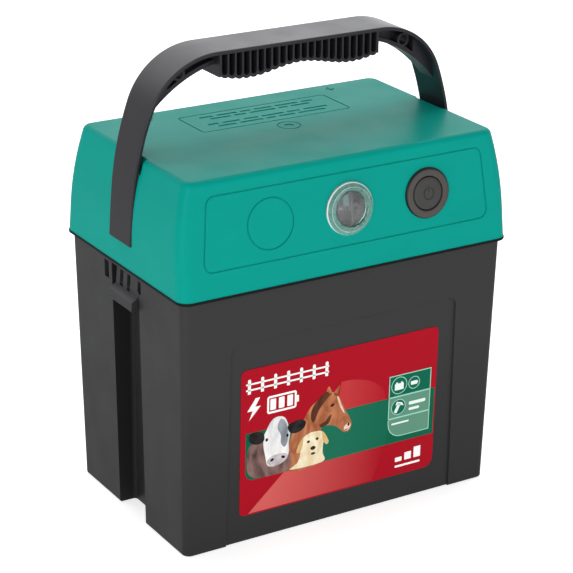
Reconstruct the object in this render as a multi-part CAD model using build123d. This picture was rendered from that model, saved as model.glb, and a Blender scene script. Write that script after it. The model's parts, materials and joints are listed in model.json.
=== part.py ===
from build123d import *
from math import atan2, cos, degrees, hypot, pi, sin
import os

# Battery fence energizer.  Millimetres.  X runs along the long side, -Y is the front, +Z is up.
# The origin is the middle of the underside of the battery housing.

# ---- battery housing ----
BOX_BOTTOM = (219.4, 136.8)
BOX_TOP = (224.4, 144.4)
BOX_HEIGHT = 164.7
WALL = 2.5
CORNER = 5.0
FOOT_EDGE = 1.2
FLOOR = 3.0
FLOOR_RIB = 1.0
RIB_HALF = 1.5
RECESS_DEPTH = 1.2
RECESS_HALF = (82.0, 80.0)
RECESS_TOP = 132.6
RECESS_CORNER = 6.0
LABEL_BOX = (-72.4, 68.8, 17.6, 114.6)
LABEL_THICK = 0.3
LABEL_CORNER, LABEL_CORNER_LOW = 4.0, 6.5

# ---- side channels and latches ----
CHANNEL_FLOOR = 98.5
CHANNEL_HALF = 17.2
CHANNEL_TOP = 162.0
CHANNEL_CORNER = 2.4
REAR_SLIT = (21.5, 27.1)
SLIT_Z = (150.3, 161.4)
FRONT_POCKET = (-20.2, 153.4)
LATCH_HALF = 15.0
LATCH_NECK = (-13.4, 14.0)
LATCH_GROOVES = ((5.0, 9.3), (-4.2, 0.0))
LATCH_PIVOT = (108.0, 150.5)
LATCH_PIN_R = 1.5
LATCH_LIP = 141.0
LATCH_FACE = 7.9
LATCH_HEAD = 161.3
HOOK_HALF = 9.5
CATCH_X = (102.1, 104.0)
CATCH_HALF = 11.0
CATCH_LEDGE = 0.6
CATCH_FOOT = 154.5
CATCH_GAP = 0.4
PIN_LENGTH = 2 * (CHANNEL_HALF + 1.5)
SPRING_Z = 143.0
SPRING_R = 3.0
SPRING_LENGTH = 10.4

# ---- energizer head ----
FLANGE_LOW = 164.9
FLANGE_HALF = (115.1, 75.9)
FLANGE_EDGE = 0.8
LID_BASE = 166.7
LID_TOP = 235.1
LID_BASE_HALF = (114.7, 75.5)
LID_SIDE_HALF = 114.4
LID_SIDE_Z = 185.0
LID_TOP_HALF = (106.4, 67.6)
LID_CORNER = 7.5
LID_EDGE = 3.6
PANEL_Z = 204.2
BUTTON_U = 55.2
BLANK_U = -53.8
BLANK_R = 15.8
OUTLINE_HALF = (97.5, 22.6)
OUTLINE_TAPER = 2.2
GROOVE = 0.9
GROOVE_DEPTH = 0.5
MARK_DEPTH = 0.4
FRAME_CENTRE = (2.1, 30.0)
FRAME_HALF = (53.0, 17.0)
LENS_HOLE = 13.7
BUTTON_HOLE = 12.3
HEAD_BOSS = (86.0, 50.0)
BOSS_LOW = 172.0
SEAT_Z = 168.2
SCREW_R = 2.0
BOARD_SCREW_R = 1.4
GROMMET_R = 5.5
SKIRT_LOW = 157.0
SEAL_WIDTH = 1.6
SEAL_HEIGHT = 0.9

# ---- handle ----
HANDLE_TOP = 293.0
BAND = 2.2
BAND_HALF = 16.0
BAND_EDGE = 0.8
ARM_HALF = 13.7
ARM_WAIST = (14.4, 250.0)
ARM_TAPER_Z = 288.0
ARM_GAP = 0.3
NOTCH_GAP = 1.6
SHOULDER_X = 57.0
SHOULDER_R = 47.4
SHOULDER_END = (44.0, 17.6)
ARM_MID = (111.7, 223.0)
ARM_END = (115.4, 182.0)
GUSSET_CENTRE = (35.2, 200.9)
GUSSET_R = 85.0
GUSSET_FLANGE = 2.5
GUSSET_HALF = 7.4
SHOULDER_BOSS = (78.6, 280.7)
BOSS_R, BOSS_HOLE_R = 4.3, 3.0
NOTCH_X, NOTCH_LOW = 103.6, 226.0
CLIP_X = (106.6, 108.8)
CLIP_Z = (206.3, 211.7)
CLIP_HALF = 5.8
GRIP_PITCH = 4.95
GRIP_RIBS = 23
GRIP_HALF = 15.0

# ---- battery ----
BATTERY = (190.0, 125.0)
BATTERY_LOW = FLOOR + FLOOR_RIB
CASE_TOP = 148.0
COVER_TOP = 152.0
POST_X = 40.0
POST_TOP = 158.5
CASE_CORNER = 6.0
LEAD_R = 1.3
LEAD_GAP = 1.9
CONNECTOR_Z = 156.4

# ---- rear terminals ----
TERMINAL_X = 66.0
STUD_R = 3.0
STUD_IN, STUD_OUT = -12.0, 27.0
TIP_R = 2.6
TIP_LOW = 20.4
KNOB_LOW, KNOB_HIGH = 4.6, 18.6
KNOB_R = 10.2
NUT_SEAT = -WALL - 5.6

# The lid's front and rear walls lean in by the same angle.
LEAN = atan2(LID_BASE_HALF[1] - LID_TOP_HALF[1], LID_TOP - LID_BASE)
PANEL_Y = LID_BASE_HALF[1] - (PANEL_Z - LID_BASE) * sin(LEAN) / cos(LEAN)
FRONT = Plane(origin=(0, -PANEL_Y, PANEL_Z), x_dir=(1, 0, 0), z_dir=(0, -cos(LEAN), sin(LEAN)))
REAR = Plane(origin=(0, PANEL_Y, PANEL_Z), x_dir=(1, 0, 0), z_dir=(0, cos(LEAN), sin(LEAN)))

# ---- indicator, button and circuit board; heights are measured from the panel's face ----
LENS_FOOT = -9.0
LAMP_U = (-4.6, 6.4)
PARTITION_U = 2.7
LAMP_R = 2.5
SWITCH_TOP = -13.0
SWITCH_PIN = 5.0
BOARD_FACE = -22.0
BOARD_THICK = 1.6
BOARD_BACK = BOARD_FACE - BOARD_THICK
BOARD_SIZE = (156.0, 46.0)
BOARD_HOLE = (72.0, 18.0)

# ---- pulse transformer ----
CORE = (-44.0, 27.0)
CORE_SIZE = (54.0, 20.0, 45.0)
CORE_LOW = LID_BASE + 1.6
LEG = 9.0
LEAD_END = CORE_LOW + CORE_SIZE[2] - LEG - 0.1

os.makedirs("parts", exist_ok=True)


# ---------------------------------------------------------------- helpers

def save(node, shape):
    """Write one sub-part."""
    export_step(shape, f"parts/{node}.step")


def slab(x0, x1, y0, y1, z0, z1):
    """A box from its two corners."""
    return Pos((x0 + x1) / 2, (y0 + y1) / 2, (z0 + z1) / 2) * Box(x1 - x0, y1 - y0, z1 - z0)


def round_slab(x0, x1, y0, y1, z0, z1, radius):
    """An upright block with rounded vertical corners."""
    plan = Pos((x0 + x1) / 2, (y0 + y1) / 2, z0) * RectangleRounded(x1 - x0, y1 - y0, radius)
    return extrude(plan, z1 - z0)


def tapered(low, high, z0, z1, radius):
    """A block that goes from one rounded rectangle to another."""
    foot = Pos(0, 0, z0) * RectangleRounded(*low, radius)
    head = Pos(0, 0, z1) * RectangleRounded(*high, radius)
    return loft([foot.face(), head.face()], ruled=True)


def disc(plane, u, v, low, high, radius):
    """A cylinder that stands on a plane between two heights."""
    return extrude(plane * Pos(u, v, low) * Circle(radius), high - low)


def ring(plane, u, v, low, high, outer, inner):
    """A tube that stands on a plane between two heights."""
    return extrude(plane * Pos(u, v, low) * (Circle(outer) - Circle(inner)), high - low)


def turned(plane, u, v, profile):
    """Revolve a list of (radius, height) points about an axis that stands on a plane."""
    face = make_face(Plane.XZ * Polyline(*profile, close=True))
    return plane * Pos(u, v, 0) * revolve(face, Axis.Z)


def mirrored(shape):
    """The same piece on the other side of the middle."""
    return mirror(shape, Plane.YZ)


def both_sides(shape):
    """A piece and its mirror image."""
    return shape + mirrored(shape)


def tube(points, radii, radius):
    """A wire along straight runs joined by arcs."""
    path = FilletPolyline(*points, radius=radii)
    section = Plane(origin=path @ 0, z_dir=path % 0) * Circle(radius)
    return sweep(section, path=path)


def coil(length, pitch, coil_radius, wire):
    """A compression spring along +Z."""
    path = Helix(pitch, length, coil_radius)
    section = Plane(origin=path @ 0, z_dir=path % 0) * Circle(wire)
    return sweep(section, path=path, is_frenet=True)


def group(shapes):
    """Several separate solids in one node."""
    solids = [solid for shape in shapes for solid in shape.solids()]
    return Compound(children=solids)


# ---------------------------------------------------------------- battery housing

def box_body(shrink, z0, z1):
    """The housing's tapered outer form, made smaller all round by shrink."""
    slope = [(BOX_TOP[i] - BOX_BOTTOM[i]) / BOX_HEIGHT for i in (0, 1)]
    low = [BOX_BOTTOM[i] + slope[i] * z0 - 2 * shrink for i in (0, 1)]
    high = [BOX_BOTTOM[i] + slope[i] * z1 - 2 * shrink for i in (0, 1)]
    return tapered(low, high, z0, z1, max(CORNER - shrink, 1.0))


def box_outside():
    """The housing's outer form with its rounded bottom edge."""
    body = box_body(0, 0, BOX_HEIGHT)
    return fillet(body.edges().group_by(Axis.Z)[0], FOOT_EDGE)


def recess_outline():
    """The label recess seen from the front, open at the bottom edge."""
    low, high = RECESS_HALF
    sides = Polyline((-low, -5), (low, -5), (high, RECESS_TOP), (-high, RECESS_TOP), close=True)
    face = make_face(sides)
    return fillet(face.vertices().group_by(Axis.Y)[-1], RECESS_CORNER)


def battery_box():
    """A tub with a post channel and a latch pocket in each end, and a shallow front and rear recess."""
    outer = box_outside()
    shell = outer - box_body(WALL, FLOOR, BOX_HEIGHT + 1)
    end = slab(CHANNEL_FLOOR - WALL, 130, -CHANNEL_HALF - WALL, CHANNEL_HALF + WALL, 0, BOX_HEIGHT)
    shell += both_sides(end & outer)
    channel = slab(CHANNEL_FLOOR, 130, -CHANNEL_HALF, CHANNEL_HALF, -1, CHANNEL_TOP)
    shell -= both_sides(fillet(channel.edges().filter_by(Axis.Z).group_by(Axis.X)[0], CHANNEL_CORNER))
    for side in (-1, 1):
        cover = outer.moved(Location((0, -side * RECESS_DEPTH, 0)))
        shell -= extrude(Plane.XZ * recess_outline(), -side * 90) - cover
    shell += slab(-92, 92, -RIB_HALF, RIB_HALF, FLOOR, BATTERY_LOW)
    for x in (-60, 0, 60):
        shell += slab(x - RIB_HALF, x + RIB_HALF, -60, 60, FLOOR, BATTERY_LOW)
    return shell - both_sides(latch_openings())


def latch_openings():
    """What one end of the housing gives up for its latch, pin, spring and the head's catch."""
    slot = slab(CATCH_X[0] - 1.2, CATCH_X[1] + 1.6, -CATCH_HALF - 0.8, CATCH_HALF + 0.8, 160, BOX_HEIGHT + 1)
    slit = slab(109.5, 116, *REAR_SLIT, *SLIT_Z)
    pocket = slab(109.5, 116, FRONT_POCKET[0], -CHANNEL_HALF + 1, FRONT_POCKET[1], SLIT_Z[1])
    pin = Pos(LATCH_PIVOT[0], 0, LATCH_PIVOT[1]) * Rot(90, 0, 0) * Cylinder(LATCH_PIN_R, PIN_LENGTH)
    spring_seat = Pos(CHANNEL_FLOOR, 0, SPRING_Z) * Rot(0, 90, 0) * Cylinder(SPRING_R + 0.8, 1.2)
    return slot + slit + pocket + pin + spring_seat


def front_label():
    """A thin plate stuck in the front recess; its lower right corner is rounder."""
    x0, x1, z0, z1 = LABEL_BOX
    outline = make_face(Polyline((x0, z0), (x1, z0), (x1, z1), (x0, z1), close=True))
    corners = outline.vertices()
    sharp = corners.sort_by_distance((x1, z0, 0))[0]
    outline = fillet([corner for corner in corners if corner != sharp], LABEL_CORNER)
    outline = fillet(outline.vertices().sort_by_distance((x1, z0, 0))[0], LABEL_CORNER_LOW)
    block = extrude(Plane.XZ * outline, 90)
    inner = box_body(0, 0, BOX_HEIGHT).moved(Location((0, RECESS_DEPTH, 0)))
    outer = box_body(0, 0, BOX_HEIGHT).moved(Location((0, RECESS_DEPTH - LABEL_THICK, 0)))
    plate = (block & outer) - inner
    return plate.solids().sort_by(Axis.Y)[0]


# ---------------------------------------------------------------- latches

def latch():
    """A rocker for the right-hand end: a wide finger plate below the pivot, a narrow neck and hook above."""
    x, z = LATCH_PIVOT
    face = x + LATCH_FACE
    side = Polyline((x - 1.8, LATCH_HEAD), (x + 2.3, LATCH_HEAD), (x + 3.2, z - 0.9), (face - 0.3, z - 3.2),
                    (face, LATCH_LIP + 1.2), (face - 0.8, LATCH_LIP), (x + 3.4, LATCH_LIP), (x + 1.8, z - 4),
                    (x - 0.6, z - 3.2), (x - 2.3, z), (x - 1.8, z + 3), close=True)
    body = extrude(Plane.XZ * make_face(side), LATCH_HALF, both=True)
    rear, front = LATCH_NECK[1], LATCH_NECK[0]
    shoulder = z - 0.7
    outline = Polyline((-LATCH_HALF, LATCH_LIP), (LATCH_HALF, LATCH_LIP), (LATCH_HALF, shoulder),
                       (rear, shoulder), (rear, 170), (front, 170), (front, shoulder + 3.6),
                       (-LATCH_HALF, shoulder + 3.6), close=True)
    outline = make_face(outline)
    outline = fillet(outline.vertices().sort_by_distance((LATCH_HALF, LATCH_LIP, 0))[0], 4.0)
    outline = fillet(outline.vertices().sort_by_distance((-LATCH_HALF, LATCH_LIP, 0))[0], 1.5)
    body &= Pos(100, 0, 0) * extrude(Plane.YZ * outline, 20)
    for groove in LATCH_GROOVES:
        body -= slab(x + 0.5, x + 9, *groove, z - 0.7, LATCH_HEAD - 1.2)
    hook = CATCH_X[1] + CATCH_LEDGE + CATCH_GAP
    body += slab(hook, x - 1.2, -HOOK_HALF, HOOK_HALF, LATCH_HEAD - 2.6, LATCH_HEAD - 0.2)
    bore = Pos(x, 0, z) * Rot(90, 0, 0) * Cylinder(LATCH_PIN_R + 0.05, 60)
    return body - bore


def latch_pin():
    """The steel pin that the rocker turns on."""
    return Pos(LATCH_PIVOT[0], 0, LATCH_PIVOT[1]) * Rot(90, 0, 0) * Cylinder(LATCH_PIN_R, PIN_LENGTH)


def latch_spring():
    """The coil that pushes the finger lip out."""
    wire = coil(SPRING_LENGTH, 2.0, SPRING_R - 0.4, 0.4)
    return Pos(CHANNEL_FLOOR - 0.1, 0, SPRING_Z) * Rot(0, 90, 0) * wire


# ---------------------------------------------------------------- battery

def battery_case():
    """The battery's moulded tub, filled."""
    half_x, half_y = BATTERY[0] / 2, BATTERY[1] / 2
    return round_slab(-half_x, half_x, -half_y, half_y, BATTERY_LOW, CASE_TOP, CASE_CORNER)


def battery_cover():
    """The battery's lid: a plate with a raised rim, vent bosses and a carrying strap seat."""
    half_x, half_y = BATTERY[0] / 2, BATTERY[1] / 2
    cover = round_slab(-half_x, half_x, -half_y, half_y, CASE_TOP, COVER_TOP, CASE_CORNER)
    rim = 3.0
    cover -= round_slab(rim - half_x, half_x - rim, rim - half_y, half_y - rim,
                        COVER_TOP - 1.2, COVER_TOP + 1, CASE_CORNER - 2)
    for x in (-POST_X, POST_X):
        cover += Pos(x, 0, COVER_TOP - 1.2) * extrude(Circle(9), 1.2)
    for x in (-75, 75):
        for y in (-35, 35):
            cover += Pos(x, y, COVER_TOP - 1.2) * extrude(Circle(6), 1.0)
    return cover


def battery_posts():
    """The two contact posts, with a ball-nosed top."""
    post = Pos(POST_X, 0, COVER_TOP) * extrude(Circle(3.5), POST_TOP - COVER_TOP)
    post = fillet(post.edges().group_by(Axis.Z)[-1], 1.4)
    return group([post, mirrored(post)])


# ---------------------------------------------------------------- lid

def lid_form(inset):
    """The lid's outer form made smaller all round by inset: leaning front, bowed ends, rounded edges."""
    top = LID_TOP - inset
    foot, knee, head = LID_BASE_HALF[0] - inset, LID_SIDE_HALF - inset, LID_TOP_HALF[0] - inset
    wall = Line((foot, LID_BASE), (knee, LID_SIDE_Z))
    bow = TangentArc((knee, LID_SIDE_Z), (head, top), tangent=(knee - foot, LID_SIDE_Z - LID_BASE))
    half = wall + bow + Polyline((head, top), (0, top), (0, LID_BASE), (foot, LID_BASE))
    half_body = extrude(Plane.XZ * make_face(half), 90, both=True)
    step = inset / cos(LEAN)
    low, high = LID_BASE_HALF[1] - step, LID_TOP_HALF[1] - step + inset * sin(LEAN) / cos(LEAN)
    ends = make_face(Polyline((-low, LID_BASE), (low, LID_BASE), (high, top), (-high, top), close=True))
    body = both_sides(half_body) & extrude(Plane.YZ * ends, 130, both=True)
    upright = [e for e in body.edges() if abs(e.center().X) > 95 and abs(e.center().Y) > 50
               and e.bounding_box().size.Z > 10]
    body = fillet(upright, LID_CORNER - inset / 2)
    rim = [e for e in body.edges() if e.bounding_box().min.Z > top - 0.01]
    return fillet(rim, max(LID_EDGE - inset, 1.0))


def outline_groove(plane, half_u, half_v, radius, taper=0.0):
    """A thin groove that follows a rounded rectangle."""
    outer = make_face(Polyline((-half_u - taper, -half_v), (half_u + taper, -half_v),
                               (half_u - taper, half_v), (taper - half_u, half_v), close=True))
    outer = fillet(outer.vertices(), radius)
    inner = offset(outer, -GROOVE)
    return extrude(plane * Pos(0, 0, -GROOVE_DEPTH) * (outer - inner), GROOVE_DEPTH + 3)


def arm_plan(grow):
    """The handle band seen from its end, all the way across X: narrow at the foot, wide at the grip."""
    foot = ARM_END[1] - 1
    half = [(ARM_HALF + grow, foot), (ARM_WAIST[0] + grow, ARM_WAIST[1]), (BAND_HALF + grow, ARM_TAPER_Z),
            (BAND_HALF + grow, HANDLE_TOP + 5)]
    plan = Polyline(*half, *[(-y, z) for y, z in reversed(half)], close=True)
    return extrude(Plane.YZ * make_face(plan), 130)


def handle_seats():
    """What the lid gives up for one handle arm: groove, notch in the top edge, and clip slot."""
    seat = extrude(Plane.XZ * band_face(-12, BAND + 0.25), BAND_HALF + 2, both=True) & arm_plan(ARM_GAP)
    seat &= slab(90, 130, -40, 40, ARM_END[1] - 0.4, 260)
    notch = slab(NOTCH_X, 130, -ARM_WAIST[0] - NOTCH_GAP, ARM_WAIST[0] + NOTCH_GAP, NOTCH_LOW, 240)
    slot = slab(100, 130, -CLIP_HALF - 0.4, CLIP_HALF + 0.4, CLIP_Z[0] - 0.3, CLIP_Z[1] + 0.3)
    return seat + notch + slot


def lid_shell():
    """The green cover with its panel outline, moulded marks, bosses and openings."""
    outer = lid_form(0)
    shell = outer - lid_form(WALL)
    liner_half = ARM_WAIST[0] + NOTCH_GAP + WALL
    liner = slab(NOTCH_X - WALL, 130, -liner_half, liner_half, NOTCH_LOW - WALL, LID_TOP)
    shell += both_sides(liner & outer)
    backing = slab(95, 130, -BAND_HALF - 4, BAND_HALF + 4, ARM_END[1] - 4, NOTCH_LOW)
    shell += both_sides((outer - lid_form(WALL + 1.5)) & backing)
    for x in (-HEAD_BOSS[0], HEAD_BOSS[0]):
        for y in (-HEAD_BOSS[1], HEAD_BOSS[1]):
            shell += Pos(x, y, BOSS_LOW) * extrude(Circle(4.5), LID_TOP - 1 - BOSS_LOW)
            shell -= Pos(x, y, BOSS_LOW) * extrude(Circle(SCREW_R + 0.02), 16)
    for u in (-BOARD_HOLE[0], BOARD_HOLE[0]):
        for v in (-BOARD_HOLE[1], BOARD_HOLE[1]):
            shell += disc(FRONT, u, v, BOARD_FACE, -WALL + 0.4, 3.5)
            shell -= disc(FRONT, u, v, BOARD_FACE, BOARD_FACE + 9, BOARD_SCREW_R + 0.02)
    shell -= both_sides(handle_seats())
    shell -= disc(FRONT, 0, 0, -8, 8, LENS_HOLE)
    shell -= disc(FRONT, BUTTON_U, 0, -8, 8, BUTTON_HOLE)
    for u in (-TERMINAL_X, TERMINAL_X):
        shell -= disc(REAR, u, 0, -8, 8, STUD_R + 0.3)
    return shell - front_marks() - top_marks()


def front_marks():
    """Panel outline and the blank third position, as thin grooves."""
    marks = outline_groove(FRONT, *OUTLINE_HALF, 6.0, taper=OUTLINE_TAPER)
    return marks + ring(FRONT, BLANK_U, 0, -GROOVE_DEPTH, 3, BLANK_R, BLANK_R - GROOVE)


def top_marks():
    """Moulded marks on the roof: a framed block of broken bars, a round stamp and the terminal marks."""
    roof = Plane.XY.offset(LID_TOP)
    x, y = FRAME_CENTRE
    marks = outline_groove(roof * Pos(x, y, 0), *FRAME_HALF, 3.0)
    for row, lengths in ((10.2, (9, 14, 7, 12, 16, 8)), (5.4, (14, 8, 18, 6, 13)),
                         (-4.6, (7, 12, 10, 15, 9, 17)), (-9.6, (12, 16, 6, 11, 19))):
        left = x - (sum(lengths) + 3 * (len(lengths) - 1)) / 2
        for length in lengths:
            bar = Pos(left + length / 2, y + row, -MARK_DEPTH) * Rectangle(length, 2.4)
            marks += extrude(roof * bar, 2)
            left += length + 3
    marks += ring(roof, x, y - 29, -GROOVE_DEPTH, 2, 7.5, 6.7)
    marks += extrude(roof * Pos(x, y - 29, -MARK_DEPTH) * RegularPolygon(3.2, 6), 2)
    bolt = make_face(Polyline((1.4, 6), (-3.6, -0.6), (-0.4, -0.6), (-1.6, -6), (3.6, 1.0), (0.5, 1.0),
                              close=True))
    marks += extrude(roof * Pos(TERMINAL_X - 1, 54.0, -MARK_DEPTH) * bolt, 2)
    for row, half in ((0, 4.5), (-2.4, 3.0), (-4.8, 1.5)):
        bar = Pos(-TERMINAL_X - 1, 55.0 + row, -MARK_DEPTH) * Rectangle(2 * half, 0.9)
        marks += extrude(roof * bar, 2)
    return marks + extrude(roof * Pos(-TERMINAL_X - 1, 57.7, -MARK_DEPTH) * Rectangle(0.9, 4.6), 2)


# ---------------------------------------------------------------- tray

def base_tray():
    """The head's dark floor: flange, skirt inside the housing, spigot inside the lid, and two catches."""
    half_x, half_y = FLANGE_HALF
    tray = round_slab(-half_x, half_x, -half_y, half_y, FLANGE_LOW, LID_BASE, LID_CORNER + 0.2)
    tray = fillet(tray.edges().group_by(Axis.Z)[0], FLANGE_EDGE)
    spigot = (2 * (LID_BASE_HALF[0] - WALL) - 1.2, 2 * (LID_BASE_HALF[1] - WALL) - 2.2)
    inner = (spigot[0] - 4, spigot[1] - 4)
    tray += (tapered(spigot, spigot, LID_BASE, LID_BASE + 4.5, LID_CORNER - 1.5)
             - tapered(inner, inner, LID_BASE, LID_BASE + 9, LID_CORNER - 3.5))
    skirt = box_body(WALL + 0.6, SKIRT_LOW, FLANGE_LOW)
    skirt -= box_body(WALL + 2.4, SKIRT_LOW - 1, FLANGE_LOW + 0.1)
    skirt -= both_sides(slab(90, 130, -CHANNEL_HALF - WALL - 1, CHANNEL_HALF + WALL + 1, 150, FLANGE_LOW))
    tray += skirt
    ribs = [slab(-90, 90, y - 0.8, y + 0.8, LID_BASE, LID_BASE + 2.5) for y in (-30, 52)]
    tray += ribs[0] + ribs[1]
    for x in (-HEAD_BOSS[0], HEAD_BOSS[0]):
        for y in (-HEAD_BOSS[1], HEAD_BOSS[1]):
            tray += Pos(x, y, LID_BASE) * extrude(Circle(6.2), BOSS_LOW - LID_BASE)
            tray -= Pos(x, y, 160) * extrude(Circle(4.3), SEAT_Z - 160)
            tray -= Pos(x, y, 160) * extrude(Circle(SCREW_R + 0.3), 20)
    tray -= Pos(0, 0, 160) * extrude(Circle(GROMMET_R), 10)
    catch = slab(CATCH_X[0], CATCH_X[1], -CATCH_HALF, CATCH_HALF, CATCH_FOOT, FLANGE_LOW + 0.5)
    catch += slab(CATCH_X[0], CATCH_X[1] + CATCH_LEDGE, -CATCH_HALF, CATCH_HALF, CATCH_FOOT, LATCH_HEAD - 3.1)
    tray += both_sides(catch)
    return tray - seal_ring(0.15)


def seal_ring(grow):
    """The ring that the sealing cord fills; grow widens it into its groove."""
    mid = (BOX_TOP[0] - WALL, BOX_TOP[1] - WALL)
    step = SEAL_WIDTH + 2 * grow
    outer = RectangleRounded(mid[0] + step, mid[1] + step, CORNER - 0.4)
    inner = RectangleRounded(mid[0] - step, mid[1] - step, CORNER - 2)
    return extrude(Pos(0, 0, FLANGE_LOW - 0.1) * (outer - inner), SEAL_HEIGHT + grow)


def tray_screws():
    """Four screws that hold the tray to the lid from below."""
    head = Pos(0, 0, SEAT_Z - 2.4) * extrude(Circle(3.8), 2.4)
    head -= Pos(0, 0, SEAT_Z - 2.4) * extrude(Rectangle(4.4, 1.0) + Rectangle(1.0, 4.4), 1.3)
    screw = head + Pos(0, 0, SEAT_Z) * extrude(Circle(SCREW_R), 17)
    spots = [(x, y) for x in (-HEAD_BOSS[0], HEAD_BOSS[0]) for y in (-HEAD_BOSS[1], HEAD_BOSS[1])]
    return group([screw.moved(Location((x, y, 0))) for x, y in spots])


# ---------------------------------------------------------------- handle

def band_line(inset):
    """Half of the handle's centre-to-arm outline, moved inwards by inset."""
    radius = SHOULDER_R - inset
    centre = (SHOULDER_X, HANDLE_TOP - SHOULDER_R)
    span = hypot(*SHOULDER_END)
    unit = (SHOULDER_END[0] / span, SHOULDER_END[1] / span)
    turn = degrees(atan2(unit[1], unit[0]))
    top = Line((0, HANDLE_TOP - inset), (SHOULDER_X, HANDLE_TOP - inset))
    shoulder = CenterArc(centre, radius, turn, 90 - turn)
    start = (centre[0] + radius * unit[0], centre[1] + radius * unit[1])
    points = [start, (ARM_MID[0] - inset, ARM_MID[1]), (ARM_END[0] - inset, ARM_END[1])]
    arm = Spline(*points, tangents=[(unit[1], -unit[0]), (0.07, -1)])
    return top, shoulder, arm


def band_face(outer_inset, inner_inset):
    """The area between two such outlines, on the +X side."""
    outer, inner = band_line(outer_inset), band_line(inner_inset)
    foot = Line(outer[2] @ 1, inner[2] @ 1)
    middle = Line((0, HANDLE_TOP - outer_inset), (0, HANDLE_TOP - inner_inset))
    return make_face([*outer, foot, *inner, middle])


def under_band(inset):
    """The area below one such outline, on the +X side, as a thick block."""
    top, shoulder, arm = band_line(inset)
    end = arm @ 1
    rest = Polyline((end.X, end.Y), (0, end.Y), (0, HANDLE_TOP - inset))
    return extrude(Plane.XZ * make_face([top, shoulder, arm, rest]), 30, both=True)


def grip_height(x):
    """Underside of the grip: two finger hollows either side of a slight rise."""
    return 276.6 + 2.4 * cos(pi * x / 36)


def grip():
    """A ribbed block under the band: thin upright ribs with a cupped pocket between each two."""
    first = -(GRIP_RIBS - 1) / 2 * GRIP_PITCH
    stations = [first + i * GRIP_PITCH for i in range(GRIP_RIBS)]
    top = HANDLE_TOP - BAND + 0.5
    edges = []
    for x0, x1 in zip(stations, stations[1:]):
        middle = (x0 + x1) / 2
        edges.append(ThreePointArc((x0, grip_height(x0) + 1.0), (middle, grip_height(middle)),
                                   (x1, grip_height(x1) + 1.0)))
    left, right = edges[0] @ 0, edges[-1] @ 1
    edges.append(Polyline(right, (right.X + 1.0, right.Y - 0.7), (right.X + 1.0, top), (left.X - 1.0, top),
                          (left.X - 1.0, left.Y - 0.7), left))
    block = extrude(Plane.XZ * make_face(edges), GRIP_HALF, both=True)
    pockets = []
    for x0, x1 in zip(stations, stations[1:]):
        middle = (x0 + x1) / 2
        low = grip_height(middle) + 4.0
        pocket = make_face([Line((x0 + 0.6, low), (x0 + 0.6, top - 0.5)),
                            Line((x0 + 0.6, top - 0.5), (x1 - 0.6, top - 0.5)),
                            Line((x1 - 0.6, top - 0.5), (x1 - 0.6, low)),
                            ThreePointArc((x1 - 0.6, low), (middle, low - 2.0), (x0 + 0.6, low))])
        solid = extrude(Plane.XZ * pocket, GRIP_HALF + 1, both=True)
        pockets.append(solid)
    cut = Compound(children=[solid for pocket in pockets for solid in pocket.solids()])
    cut -= slab(-80, 80, -2, 2, 260, 300)
    return block - cut


def handle_band():
    """The +X half of the flat band: rounded outer edges, and arms that narrow towards the foot."""
    band = extrude(Plane.XZ * band_face(0, BAND), BAND_HALF, both=True) & arm_plan(0)
    inside = under_band(1)
    outer = [e for e in band.edges() if abs(e.center().Y) > ARM_HALF - 1 and not inside.is_inside(e @ 0.5)
             and e.bounding_box().min.Z > ARM_END[1] - 0.5 and e.length > 10]
    return fillet(outer, BAND_EDGE)


def carry_handle():
    """Band, gusset ribs, shoulder bosses, ribbed grip and the clips that snap into the lid."""
    inside = under_band(1)
    centre = Plane.XZ * Pos(*GUSSET_CENTRE)
    hollow = extrude(centre * Circle(GUSSET_R), 30, both=True)
    rim = extrude(centre * (Circle(GUSSET_R + GUSSET_FLANGE) - Circle(GUSSET_R)), GUSSET_HALF, both=True)
    within = inside & slab(54, 108, -30, 30, 245, 300)
    flange = rim & within
    web = (within - hollow) & slab(50, 110, -1.5, 1.5, 240, 300)
    heel = (within - hollow) & slab(86, 110, -GUSSET_HALF, GUSSET_HALF, 240, 300)
    boss_axis = Plane.XZ * Pos(*SHOULDER_BOSS)
    boss = extrude(boss_axis * Circle(BOSS_R), GUSSET_HALF, both=True)
    clip = slab(CLIP_X[0], ARM_MID[0], -CLIP_HALF, CLIP_HALF, *CLIP_Z)
    clip += slab(*CLIP_X, -CLIP_HALF, CLIP_HALF, CLIP_Z[0] - 1.6, CLIP_Z[0])
    clip &= inside
    side = handle_band() + flange + web + heel + boss
    handle = both_sides(side) + both_sides(clip) + grip()
    return handle - both_sides(extrude(boss_axis * Circle(BOSS_HOLE_R), 40, both=True))


# ---------------------------------------------------------------- indicator

def indicator_lens():
    """A clear domed window with a sloping rim and a barrel through the panel."""
    profile = [(0, 4.2), (5.5, 3.8), (9.6, 2.7), (10.1, 1.9), (10.8, 1.9), (11.3, 3.3), (12.9, 3.1),
               (15.6, 1.4), (16.2, 0.7), (16.2, 0), (13.4, 0), (13.4, LENS_FOOT), (11.6, LENS_FOOT),
               (11.6, 0.1), (9.0, 1.1), (5.0, 2.3), (0, 2.6)]
    lens = turned(FRONT, 0, 0, profile)
    return lens - ring(FRONT, 0, 0, -1, 0.7, 15.5, 14.1)


def lens_seal():
    """A flat ring under the lens rim."""
    return ring(FRONT, 0, 0, 0, 0.7, 15.4, 14.2)


def lens_nut():
    """The nut that clamps the lens barrel from inside."""
    nut = ring(FRONT, 0, 0, -WALL - 3.5, -WALL - 0.1, 17.0, 13.45)
    for k in range(8):
        notch = FRONT * Rot(0, 0, 45 * k) * Pos(17.0, 0, -WALL - 1.8) * Box(2.4, 3.0, 4.0)
        nut -= notch
    return nut


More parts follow.
